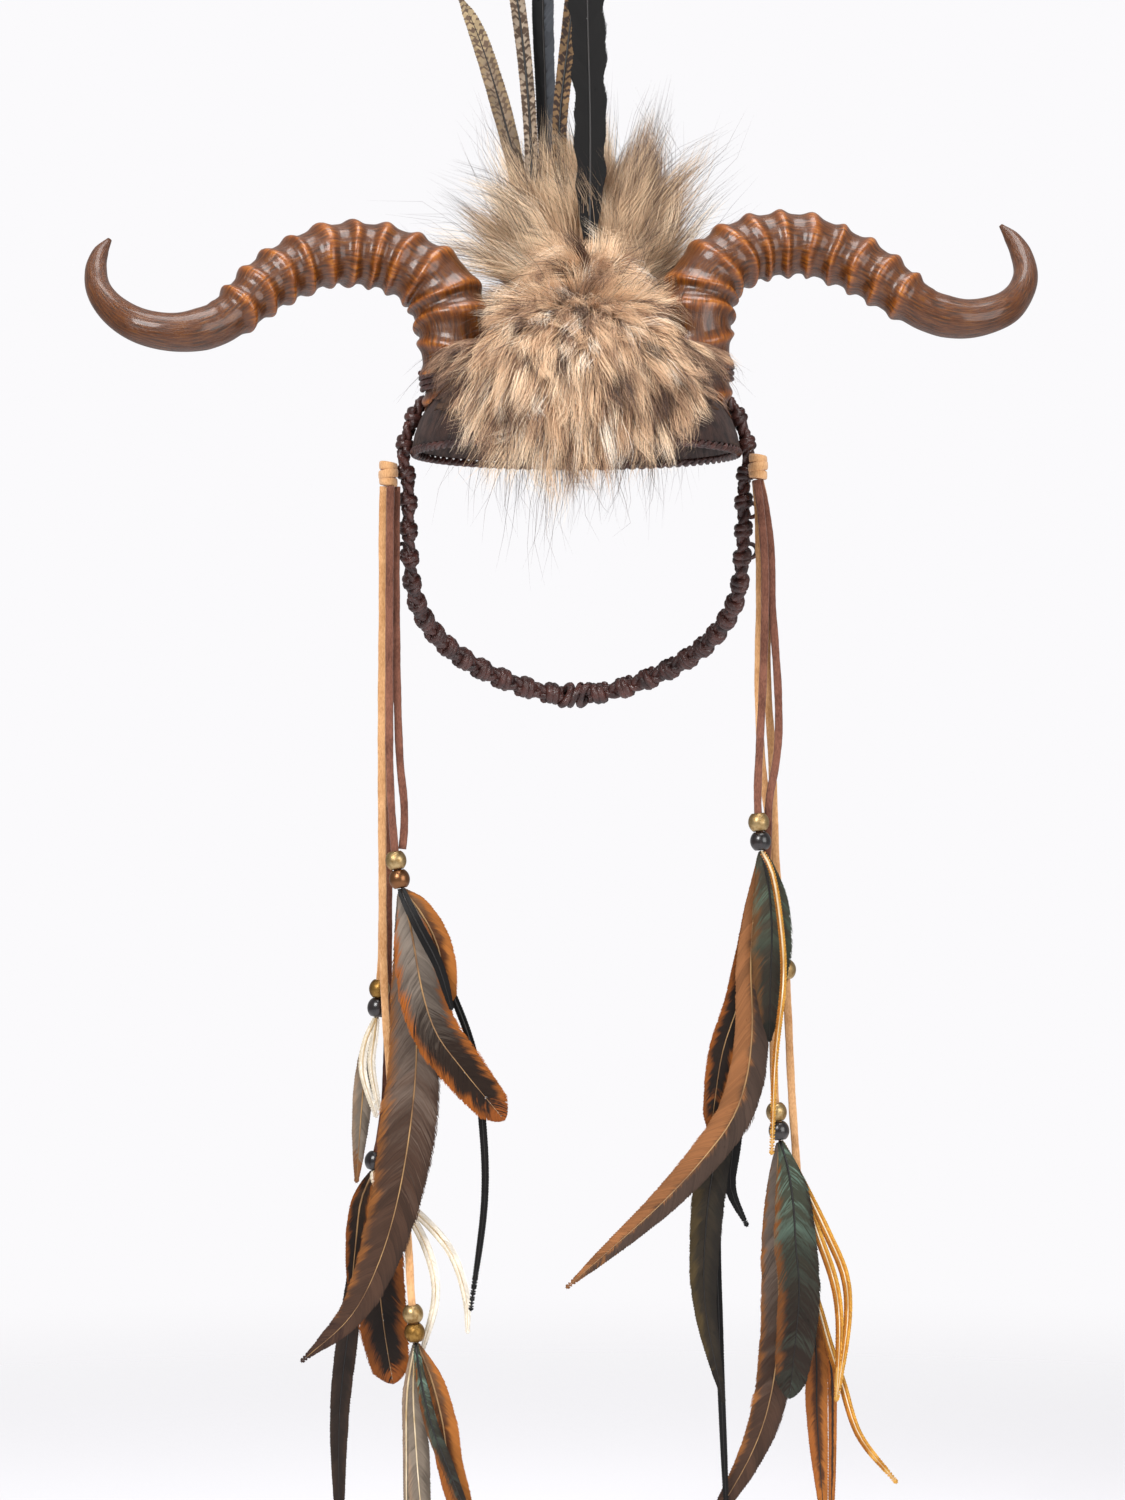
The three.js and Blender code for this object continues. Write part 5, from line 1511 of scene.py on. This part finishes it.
def hanging_feathers() -> list[Feather]:
    """The feathers at the ends of the laces.

    Returns:
        The feathers, each with the shares of its length that its shaft runs through.
    """
    leaf, blade, strip = Outline.LEAF, Outline.BLADE, Outline.STRIP
    dark, tan, pale = Look.SHAFT_DARK, Look.SHAFT_TAN, Look.SHAFT_PALE
    rows = (
        ("left_slim_black", Look.BLACK, dark, "lace_left_brown", -2, (
            Vane(strip, 55, 4.2, ((0.12, 0.25), (0.29, 0.58), (0.39, 0.91))),)),
        ("left_brown_leaf", Look.BROWN_ORANGE, tan, "lace_left_brown", -1, (
            Vane(leaf, 108, 20, ((0.035, 0.13), (0.09, 0.42), (0.14, 0.56), (0.235, 0.69), (0.4, 0.89))),)),
        ("left_orange_edge", Look.ORANGE, tan, "lace_left_brown", 0, (
            Vane(leaf, 57, 12, ((0.13, 0.15), (0.27, 0.42), (0.34, 0.85))),)),
        ("left_long_taupe", Look.TAUPE, tan, "lace_left_brown", 1, (
            Vane(blade, 212, 24, ((0.02, 0.15), (0.03, 0.33), (0, 0.58), (-0.045, 0.74), (-0.1, 0.845),
                                  (-0.198, 0.935)), 0.46),)),
        ("left_black_biot", Look.BLACK, dark, "lace_left_brown", 2, (
            Vane(strip, 185, 2.4, ((0.084, 0.17), (0.16, 0.363), (0.184, 0.544), (0.188, 0.703),
                                   (0.156, 0.96))),)),
        ("left_cream_biots", Look.CREAM, pale, "lace_left_rear", -1, (
            Vane(strip, 44, 2.4, ((-0.1, 0.23), (-0.13, 0.5), (0, 0.95))),
            Vane(strip, 42, 2.4, ((-0.02, 0.2), (-0.05, 0.45), (0.03, 0.93))))),
        ("left_grey_leaf", Look.GREY, tan, "lace_left_rear", 0, (
            Vane(blade, 71, 8, ((-0.06, 0.25), (-0.09, 0.55), (-0.12, 0.98))),)),
        ("left_white_biots", Look.CREAM, pale, "lace_left_low", -2, (
            Vane(strip, 83, 3.2, ((0.01, 0.05), (0.2, 0.19), (0.39, 0.4), (0.47, 0.63), (0.48, 0.816))),
            Vane(strip, 85, 3.2, ((0.01, 0.05), (0.18, 0.22), (0.28, 0.42), (0.31, 0.61), (0.24, 0.9))))),
        ("left_rear_brown", Look.BROWN_DEEP, tan, "lace_left_low", -1, (
            Vane(blade, 57, 9, ((-0.09, 0.21), (-0.13, 0.52), (-0.17, 0.95))),)),
        ("left_dark_leaf", Look.BROWN_DEEP, tan, "lace_left_low", 0, (
            Vane(leaf, 91, 22, ((0.014, 0.31), (0.03, 0.59), (0.06, 0.82), (0.09, 0.99))),)),
        ("left_dark_long", Look.DARK_BROWN, dark, "lace_left_low", 1, (
            Vane(blade, 164, 9, ((-0.033, 0.2), (-0.07, 0.44), (-0.09, 0.636), (-0.09, 0.99))),)),
        ("left_green_feather", Look.GREEN, dark, "lace_left_tan", -1, (
            Vane(blade, 88, 5.4, ((0.024, 0.16), (0.08, 0.4), (0.154, 0.587), (0.3, 0.95))),)),
        ("left_grey_quill", Look.GREY, pale, "lace_left_tan", 0, (
            Vane(blade, 96, 11, ((-0.01, 0.21), (0, 0.43), (0.02, 0.69), (0.055, 0.99))),
            Vane(strip, 98, 1.6, ((-0.035, 0.2), (-0.04, 0.49), (-0.038, 0.76), (-0.03, 0.99))))),
        ("left_orange_feather", Look.ORANGE, tan, "lace_left_tan", 1, (
            Vane(leaf, 93, 11, ((0.063, 0.15), (0.117, 0.35), (0.153, 0.577), (0.26, 0.95)), 0.55),)),
        ("right_golden_quill", Look.GOLD, pale, "lace_right_brown", -2, (
            Vane(strip, 127, 1.5, ((0.03, 0.06), (0.06, 0.234), (0.07, 0.41), (0.043, 0.677),
                                   (0.03, 0.99))),)),
        ("right_dark_leaf", Look.GREEN_DARK, dark, "lace_right_brown", -1, (
            Vane(blade, 80, 17, ((0.04, 0.21), (0.053, 0.42), (0.047, 0.63), (0.04, 0.99))),)),
        ("right_long_tan", Look.TAN_ORANGE, tan, "lace_right_brown", 0, (
            Vane(blade, 213, 15.5, ((-0.02, 0.2), (-0.018, 0.35), (-0.03, 0.45), (-0.057, 0.525),
                                    (-0.105, 0.592), (-0.19, 0.685), (-0.382, 0.856))),)),
        ("right_rear_dark", Look.BROWN_DEEP, tan, "lace_right_brown", 1, (
            Vane(leaf, 120, 12, ((-0.028, 0.28), (-0.077, 0.526), (-0.133, 0.7), (-0.175, 0.98))),)),
        ("right_olive_long", Look.OLIVE, dark, "lace_right_brown_second", -1, (
            Vane(blade, 167, 14, ((-0.04, 0.176), (-0.09, 0.35), (-0.116, 0.528), (-0.12, 0.729),
                                  (-0.073, 0.98))),)),
        ("right_black_biot", Look.BLACK, dark, "lace_right_brown_second", 1, (
            Vane(strip, 224, 2.6, ((-0.022, 0.13), (-0.047, 0.265), (-0.064, 0.385), (-0.06, 0.623),
                                   (-0.045, 0.99))),
            Vane(blade, 94, 7, ((-0.045, 0.31), (-0.085, 0.625), (-0.094, 0.8), (-0.02, 0.97))))),
        ("right_green_leaf", Look.GREEN, dark, "lace_right_tan_second", -1, (
            Vane(leaf, 109, 18, ((0.027, 0.09), (0.05, 0.24), (0.06, 0.4), (0.073, 0.573), (0.035, 0.99))),)),
        ("right_orange_biots", Look.GOLD, pale, "lace_right_tan_second", 0, (
            Vane(strip, 114, 3, ((0.063, 0.126), (0.133, 0.326), (0.2, 0.52), (0.22, 0.656), (0.21, 0.963))),
            Vane(strip, 115, 3, ((0.095, 0.18), (0.175, 0.343), (0.237, 0.493), (0.25, 0.624),
                                 (0.21, 0.945))))),
        ("right_grey_long", Look.TAUPE, tan, "lace_right_tan_second", 1, (
            Vane(blade, 177, 16, ((-0.007, 0.14), (-0.002, 0.47), (-0.026, 0.637), (-0.069, 0.756),
                                  (-0.187, 0.957))),)),
        ("right_yellow_biot", Look.GOLD, pale, "lace_right_tan", -1, (
            Vane(strip, 105, 2.8, ((0.064, 0.19), (0.11, 0.35), (0.16, 0.5), (0.23, 0.71), (0.38, 0.9))),)),
        ("right_orange_feather", Look.ORANGE, dark, "lace_right_tan", 1, (
            Vane(blade, 117, 9.5, ((0.032, 0.17), (0.054, 0.35), (0.057, 0.566), (0.086, 0.99))),
            Vane(strip, 120, 2.8, ((0.035, 0.12), (0.077, 0.25), (0.105, 0.383), (0.111, 0.606),
                                   (0.105, 0.98))))),
    )
    return [HangingFeather(name, look, shaft, vanes, seed, lace=lace, layer=layer)
            for seed, (name, look, shaft, lace, layer, vanes) in enumerate(rows)]


@dataclass
class FurForm:
    """An ellipsoid that fur grows on."""

    centre: tuple[float, float, float]
    half: tuple[float, float, float]

    def sample(self, count: int, draw: np.random.Generator) -> tuple[np.ndarray, np.ndarray]:
        """Spreads roots evenly over the form.

        Args:
            count: How many roots.
            draw: The source of their places.

        Returns:
            Roots in millimetres and the outward normals there.
        """
        ways = draw.normal(size=(count, 3))
        ways /= np.linalg.norm(ways, axis=1, keepdims=True)
        half = np.array(self.half)
        normals = ways / half
        normals /= np.linalg.norm(normals, axis=1, keepdims=True)
        keep = draw.random(count) < np.linalg.norm(ways / half, axis=1) * half.min()
        return (np.array(self.centre) + ways * half)[keep], normals[keep]

    def holds(self, points: np.ndarray) -> np.ndarray:
        """Tells which points lie inside the form."""
        return np.sum(((points - self.centre) / self.half) ** 2, axis=-1) < 1


@dataclass
class Pelt:
    """A fur: where it grows, how it is combed, and how its hairs lie in locks."""

    name: str
    node: str
    look: Look
    head: Head
    horns: tuple[Horn, ...]
    forms: tuple[FurForm, ...]
    whorl: tuple[float, float, float]
    hairs: int
    locks: int
    length: float
    lift: float
    droop: float
    seed: int
    front: bool
    inset: float
    melts: int
    ragged: float
    gather: float
    guard_gather: float
    dark_spots: tuple[tuple[float, float, float], ...] = ()
    parting: float = 1.0
    parting_overlap: float = 6
    hair_width: float = 0.21
    guard_girth: float = 1.1
    stations: int = 5
    brow_drop: float = 48
    brow_slope: float = 22
    brow_rise: float = 24
    brow_half: float = 58
    flank_top: float = -5
    flank_reach: float = 57
    flank_middle: float = 2
    flank_half: float = 10
    flank_slope: float = 0.6
    sink_from: float = 26
    sink_share: float = 0.55
    last_melts: int = 6
    root_gap: float = 0.4
    hair_gap: float = 0.5
    head_gap: float = 0.6
    whorl_reach: float = 22
    rim_band: float = 12
    foremost: float = -108
    past_foremost: float = 0.4

    def build(self) -> None:
        """Builds the hide over the CAD node, and the hair in two joined meshes, left and right."""
        self.build_hide()
        draw = np.random.default_rng(self.seed)
        roots, normals = self.scatter(draw)
        centres, lock, guard = self.comb(roots, normals, draw)
        tone = self.tones(roots, lock, guard, draw)
        shares = np.linspace(0, 1, self.stations)
        ways = np.gradient(centres, axis=1)
        ways /= np.linalg.norm(ways, axis=-1, keepdims=True)
        tilt = draw.normal(size=(len(roots), 1, 3))
        wide = np.cross(ways, FORWARD * 1.5 + tilt)
        wide /= np.linalg.norm(wide, axis=-1, keepdims=True)
        taper = (1.05 - shares**1.5)[None, :, None]
        half = self.hair_width / 2 * taper * np.where(guard, self.guard_girth, 1.0)[:, None, None]
        hair_map = np.stack((np.broadcast_to(tone[:, None], centres.shape[:2]),
                             np.broadcast_to(shares, centres.shape[:2])), axis=-1)
        for label, chosen in (("left", roots[:, 0] < self.whorl[0]), ("right", roots[:, 0] >= self.whorl[0])):
            hair = strips(f"{self.name}_hair_{label}", centres[chosen], (wide * half)[chosen],
                          {"hair": hair_map[chosen]})
            finish_piece(hair, self.look)

    def build_hide(self) -> None:
        """Builds the soft backing: the CAD form with its locks melted down."""
        mesh = bmesh.new()
        mesh.from_mesh(frame["nodes"][self.node].data)
        bmesh.ops.remove_doubles(mesh, verts=mesh.verts, dist=0.02 * MM)
        self._melt(mesh, self.melts)
        mesh.normal_update()
        middle = Vector(self.forms[0].centre) * MM
        for corner in mesh.verts:
            deep = self.inset
            if self.front and corner.co.z > -self.sink_from * MM:
                deep += self.sink_share * max(0.0, abs(corner.co.x - middle.x) / MM - self.sink_from)
            trials = [corner.co - corner.normal * deep * share * MM for share in (1, 0.8, 0.6, 0.4, 0.2)]
            clear = [place for place in trials if not self.head.holds(np.array(place) / MM, self.head_gap)]
            if clear and corner.normal.dot(corner.co - middle) > 0:
                corner.co = clear[0]
        self._melt(mesh, self.last_melts)
        finish_piece(from_bmesh(f"{self.name}_hide", mesh), Look.FUR_HIDE, (self.node,))

    @staticmethod
    def _melt(mesh: bmesh.types.BMesh, rounds: int) -> None:
        """Smooths a mesh a number of times."""
        for _ in range(rounds):
            bmesh.ops.smooth_vert(mesh, verts=mesh.verts, factor=0.5, use_axis_x=True, use_axis_y=True,
                                  use_axis_z=True)

    def scatter(self, draw: np.random.Generator) -> tuple[np.ndarray, np.ndarray]:
        """Spreads roots over the forms, apart from where the head, the horns or a parting is.

        Args:
            draw: The source of the roots' places.

        Returns:
            Roots and normals, as many as the pelt has hairs.
        """
        roots, normals = [], []
        areas = [form.half[0] * form.half[2] for form in self.forms]
        for form, area in zip(self.forms, areas):
            points, ways = form.sample(int(self.hairs * 14 * area / sum(areas)), draw)
            inside = self.head.holds(points, 1.0)
            for other in self.forms:
                if other is not form:
                    inside |= other.holds(points)
            if self.front:
                inside |= points[:, 1] > self.parting
                inside |= points[:, 2] < self._brow(points)
                wide = np.abs(points[:, 0] - self.forms[0].centre[0]) > self.flank_reach
                inside |= self._at_side(points) & ((points[:, 2] > self.flank_top) | wide)
            else:
                inside |= points[:, 1] < self.parting - self.parting_overlap
            for horn in self.horns:
                inside |= self._near(horn, points) < 1
            roots.append(points[~inside])
            normals.append(ways[~inside])
        roots, normals = np.vstack(roots), np.vstack(normals)
        chosen = draw.permutation(len(roots))[:self.hairs]
        return roots[chosen], normals[chosen]

    def _at_side(self, points: np.ndarray) -> np.ndarray:
        """Tells which points lie beside the pad, under the horns, where the fur is short and dark."""
        below = self.whorl[2] - points[:, 2]
        return np.abs(points[:, 0] - self.flank_middle) > self.flank_half + below * self.flank_slope

    def _brow(self, points: np.ndarray) -> np.ndarray:
        """The level where the front fur ends: lowest in the middle, higher at the sides and the back."""
        centre, half = self.forms[0].centre, self.forms[0].half
        behind = points[:, 1] - (centre[1] - half[1])
        level = -self.brow_drop + behind * math.tan(math.radians(self.brow_slope))
        return level + self.brow_rise * ((points[:, 0] - centre[0]) / self.brow_half) ** 2

    def _near(self, horn: Horn, points: np.ndarray) -> np.ndarray:
        """How near points are to a horn's middle, in shares of its radius."""
        middles, radii = horn.lower_part()
        far = np.linalg.norm(points[..., None, :] - middles, axis=-1)
        return (far / (radii + self.root_gap)).min(axis=-1)

    def comb(self, roots: np.ndarray, normals: np.ndarray,
             draw: np.random.Generator) -> tuple[np.ndarray, np.ndarray, np.ndarray]:
        """Combs the hairs away from the whorl and gathers them in locks.

        Args:
            roots: Hair roots in millimetres.
            normals: The skin's normals there.
            draw: The source of their irregularity.

        Returns:
            Middle lines of the hairs, the lock that each is in, and which ones are guard hairs.
        """
        leaders = draw.integers(0, len(roots), self.locks)
        apart = (roots[leaders] ** 2).sum(axis=1)[None] - 2 * roots @ roots[leaders].T
        lock = np.argmin(apart + draw.normal(0, 6, apart.shape), axis=1)
        guard = draw.random(len(roots)) < self.guard_share(roots)
        full = self.length * self.length_share(roots)
        whorled = np.exp(-(np.linalg.norm(roots - self.whorl, axis=1) / self.whorl_reach) ** 2)
        normals = normals * (1 + 1.8 * whorled)[:, None]
        reach = full * draw.uniform(0.72 if self.front else 0.55, 1.12, len(roots))
        reach = np.where(guard, reach * draw.uniform(1.1, 1.9 if self.front else 1.45, len(roots)), reach)
        reach *= draw.uniform(1 - self.ragged, 1 + self.ragged, self.locks)[lock]
        own = self._lines(roots, normals, reach, draw.normal(0, 0.16, (len(roots), 3)))
        upset = 0.32 + 0.45 * np.exp(-(np.linalg.norm(roots[leaders] - self.whorl, axis=1) / 24) ** 2)
        strays = draw.normal(0, 1, (self.locks, 3)) * upset[:, None]
        lifts = draw.uniform(0.3, 1.7, self.locks)[:, None]
        led = self._lines(roots[leaders], normals[leaders] * lifts, full[leaders], strays)[lock]
        led = led[:, :1] + (led - led[:, :1]) * (reach / full[leaders][lock])[:, None, None]
        shares = np.linspace(0, 1, self.stations)[None, :, None]
        pull = np.where(guard, self.guard_gather, self.gather)[:, None, None] * shares**0.9
        return self._clear(own * (1 - pull) + led * pull), lock, guard

    def _lines(self, roots: np.ndarray, normals: np.ndarray, reach: np.ndarray,
               stray: np.ndarray) -> np.ndarray:
        """Middle lines of hairs that leave the skin, lie down and droop."""
        aims = self.aims(roots, normals) + stray
        aims /= np.linalg.norm(aims, axis=1, keepdims=True)
        first = aims + normals * self.lift
        first /= np.linalg.norm(first, axis=1, keepdims=True)
        shares = np.linspace(0, 1, self.stations)[None, :, None]
        blend = first[:, None] * (1 - shares * 0.5) + aims[:, None] * shares * 0.5
        blend[..., 2] -= self.droop * shares[..., 0]
        blend += np.cross(aims, stray)[:, None] * shares * (1 - shares) * 2.6
        return roots[:, None] + blend * shares * reach[:, None, None]

    def aims(self, roots: np.ndarray, normals: np.ndarray) -> np.ndarray:
        """Directions along the skin, away from the whorl."""
        away = roots - np.array(self.whorl)
        if not self.front:
            away = away * np.array((1.0, 0.35, 1.0))
            return away / np.linalg.norm(away, axis=1, keepdims=True)
        away *= np.array((1.35, 1.0, 1.0)) / np.linalg.norm(away, axis=1, keepdims=True)
        flat = away - normals * np.sum(away * normals, axis=1, keepdims=True)
        return flat / np.linalg.norm(flat, axis=1, keepdims=True)

    def guard_share(self, roots: np.ndarray) -> np.ndarray:
        """How many of the hairs are long dark guard hairs: more at the edges."""
        aside = np.abs(roots[:, 0] - self.whorl[0])
        if self.front:
            return np.clip(0.02 + 0.001 * aside + np.where(roots[:, 2] < -30, 0.06, 0), 0, 0.3)
        return np.clip(0.05 + 0.008 * aside, 0, 0.36)

    def length_share(self, roots: np.ndarray) -> np.ndarray:
        """Hair length as a share of the pelt's, shorter by the whorl and by the horns."""
        if self.front:
            long = 0.75 + np.clip(-20 - roots[:, 2], 0, 30) / 85
            return np.where(self._at_side(roots), 0.55, long)
        return 0.85 + np.clip(np.abs(roots[:, 0] - self.whorl[0]) / 55, 0, 0.45)

    def tones(self, roots: np.ndarray, lock: np.ndarray, guard: np.ndarray,
              draw: np.random.Generator) -> np.ndarray:
        """Gives each hair its tone.

        Args:
            roots: Hair roots in millimetres.
            lock: The lock that each hair is in.
            guard: Which hairs are guard hairs.
            draw: The source of their differences.

        Returns:
            Tones from 0 to 1: paler towards the brow or the ruff's middle, dark in the spots, and
            above 0.9 for guard hairs.
        """
        level = (16 - roots[:, 2]) / 60 if self.front else 1 - np.abs(roots[:, 0]) / 50
        tone = 0.36 + 0.2 * np.clip(level, 0, 1) + draw.normal(0, 0.17, self.locks)[lock]
        tone += draw.normal(0, 0.07, len(roots))
        for across, rise, size in self.dark_spots:
            near = ((roots[:, 0] - across) ** 2 + (roots[:, 2] - rise) ** 2) / size**2
            tone -= 0.52 * np.exp(-near * 1.4)
        if self.front:
            tone -= np.where(self._at_side(roots), 0.24, 0)
        return np.where(guard, draw.uniform(0.93, 1.0, len(roots)), np.clip(tone, 0.0, 0.86))

    def _clear(self, lines: np.ndarray) -> np.ndarray:
        """Pushes hairs out of the horns and out of the head, and keeps them from standing far forward."""
        for horn in self.horns:
            middles, radii = horn.lower_part()
            limits = radii + self.hair_gap
            offsets = lines[:, :, None, :] - middles
            far = np.linalg.norm(offsets, axis=-1)
            nearest = np.argmin(far / limits, axis=-1)
            picked = np.take_along_axis(offsets, nearest[..., None, None], axis=2)[:, :, 0]
            gone = np.take_along_axis(far, nearest[..., None], axis=2)[..., 0]
            short = np.clip(limits[nearest] - gone, 0, None)
            lines = lines + picked / np.maximum(gone, 1e-3)[..., None] * short[..., None]
        inside = self.head.holds(lines, self.head_gap)
        outward = lines * LEVEL
        outward /= np.maximum(np.linalg.norm(outward, axis=-1, keepdims=True), 1e-3)
        across = lines[..., 0] / (self.head.breadth / 2 + 3)
        back = lines[..., 1] / (self.head.depth / 2 + 3)
        low = lines[..., 2] < -self.head.drop + self.rim_band
        push = np.where(inside & low, (1 - np.sqrt(across**2 + back**2)) * 75, 0)
        lines = lines + outward * np.clip(push, 0, self.rim_band)[..., None]
        lines[..., 1] -= (1 - self.past_foremost) * np.minimum(lines[..., 1] - self.foremost, 0)
        return lines


def main() -> None:
    """Builds the headdress around its CAD part, piece by piece."""
    Studio().build()
    log.info("studio ready")
    for lace in LACES:
        lace.build()
        log.info("%s: %.0f mm of suede", lace.name, lace.route().length)
    head = Head()
    head.build()
    horns = (Horn(-1, 0, 0, 0), Horn(1, 3.5, 18, 2.6))
    for horn in horns:
        horn.build(head)
        log.info("%s built", horn.name)
    Strap(-1, head, loops=(0.34,)).build()
    Strap(1, head, loops=(0.25, 0.34)).build()
    LaceKnot("lace_knot_left").build()
    LaceKnot("lace_knot_right").build()
    log.info("straps and knots built")
    for feather in hanging_feathers() + tall_feathers():
        feather.build()
        log.info("%s built", feather.name)
    for pelt in pelts(head, horns):
        pelt.build()
        log.info("%s built", pelt.name)
    total = sum(len(piece.data.polygons) for piece in bpy.data.objects if piece.type == "MESH")
    log.info("%d faces in all", total)


def tall_feathers() -> list[Feather]:
    """The upright feathers, whose quills stand in the ruff and in the crest."""
    tall, strip = Outline.TALL, Outline.STRIP
    thick = 1.5
    ruff = Vector((4, 16, 38))
    ruff_half = Vector((36, 17, 40))
    rows = (
        ("tall_feather_tan", Look.BARRED_TAN, (-0.74, 0, 0.3),
         Vane(tall, 99, 8, ((-0.02, 0.2), (-0.09, 0.5), (-0.2, 0.84), (-0.27, 0.98)), quill=thick)),
        ("tall_feather_barred", Look.BARRED_DARK, (-0.62, -0.3, 0.3),
         Vane(strip, 205, 6, ((-0.005, 0.2), (-0.03, 0.45), (-0.12, 0.96)), quill=thick)),
        ("tall_feather_grey", Look.BLACK_GREY, (-0.42, 0.3, 0.35),
         Vane(tall, 190, 9, ((-0.01, 0.3), (-0.015, 0.5), (0, 0.99)), quill=thick)),
        ("tall_feather_golden", Look.BARRED_GOLD, (-0.26, -0.35, 0.4),
         Vane(strip, 168, 6.6, ((-0.01, 0.2), (0.02, 0.5), (0.07, 0.97)), quill=thick)),
        ("tall_feather_black", Look.BLACK, (0.04, -1.25, -0.38),
         Vane(tall, 258, 15, ((0.002, 0.25), (-0.003, 0.55), (0.015, 0.99)), quill=thick, wave=0.14)),
    )
    return [TallFeather(name, look, Look.SHAFT_DARK, (vane,), 60 + seed,
                        foot=tuple(ruff[k] + ruff_half[k] * place[k] for k in range(3)))
            for seed, (name, look, place, vane) in enumerate(rows)]


def pelts(head: Head, horns: tuple[Horn, ...]) -> list[Pelt]:
    """The combed fur front and the bushy ruff behind it."""
    pad = FurForm((1, -36, -30), (61, 60, 42))
    crest = FurForm((4, -21, 9), (22, 15, 20))
    ruff = FurForm((4, 17, 34), (25, 11, 30))
    dark_spots = ((15, -20, 9), (32, -24, 8), (-23, -27, 7), (-54, -30, 12), (55, -30, 12), (0, -46, 8),
                  (-16, -50, 7), (22, -50, 8), (-40, -44, 8))
    return [
        Pelt("fur_front", "fur_front", Look.FUR_FRONT, head, horns, (pad, crest), (5, -26, 34),
             hairs=43000, locks=900, length=28, lift=0.5, droop=0.1, seed=7, front=True,
             inset=10, melts=34, ragged=0.2, gather=0.62, guard_gather=0.25, dark_spots=dark_spots),
        Pelt("fur_ruff", "fur_ruff", Look.FUR_RUFF, head, horns, (ruff,), (4, 12, 2),
             hairs=32000, locks=230, length=29, lift=0.2, droop=0.0, seed=8, front=False,
             inset=15, melts=60, ragged=0.42, gather=0.7, guard_gather=0.72),
    ]


if __name__ == "__main__":
    main()
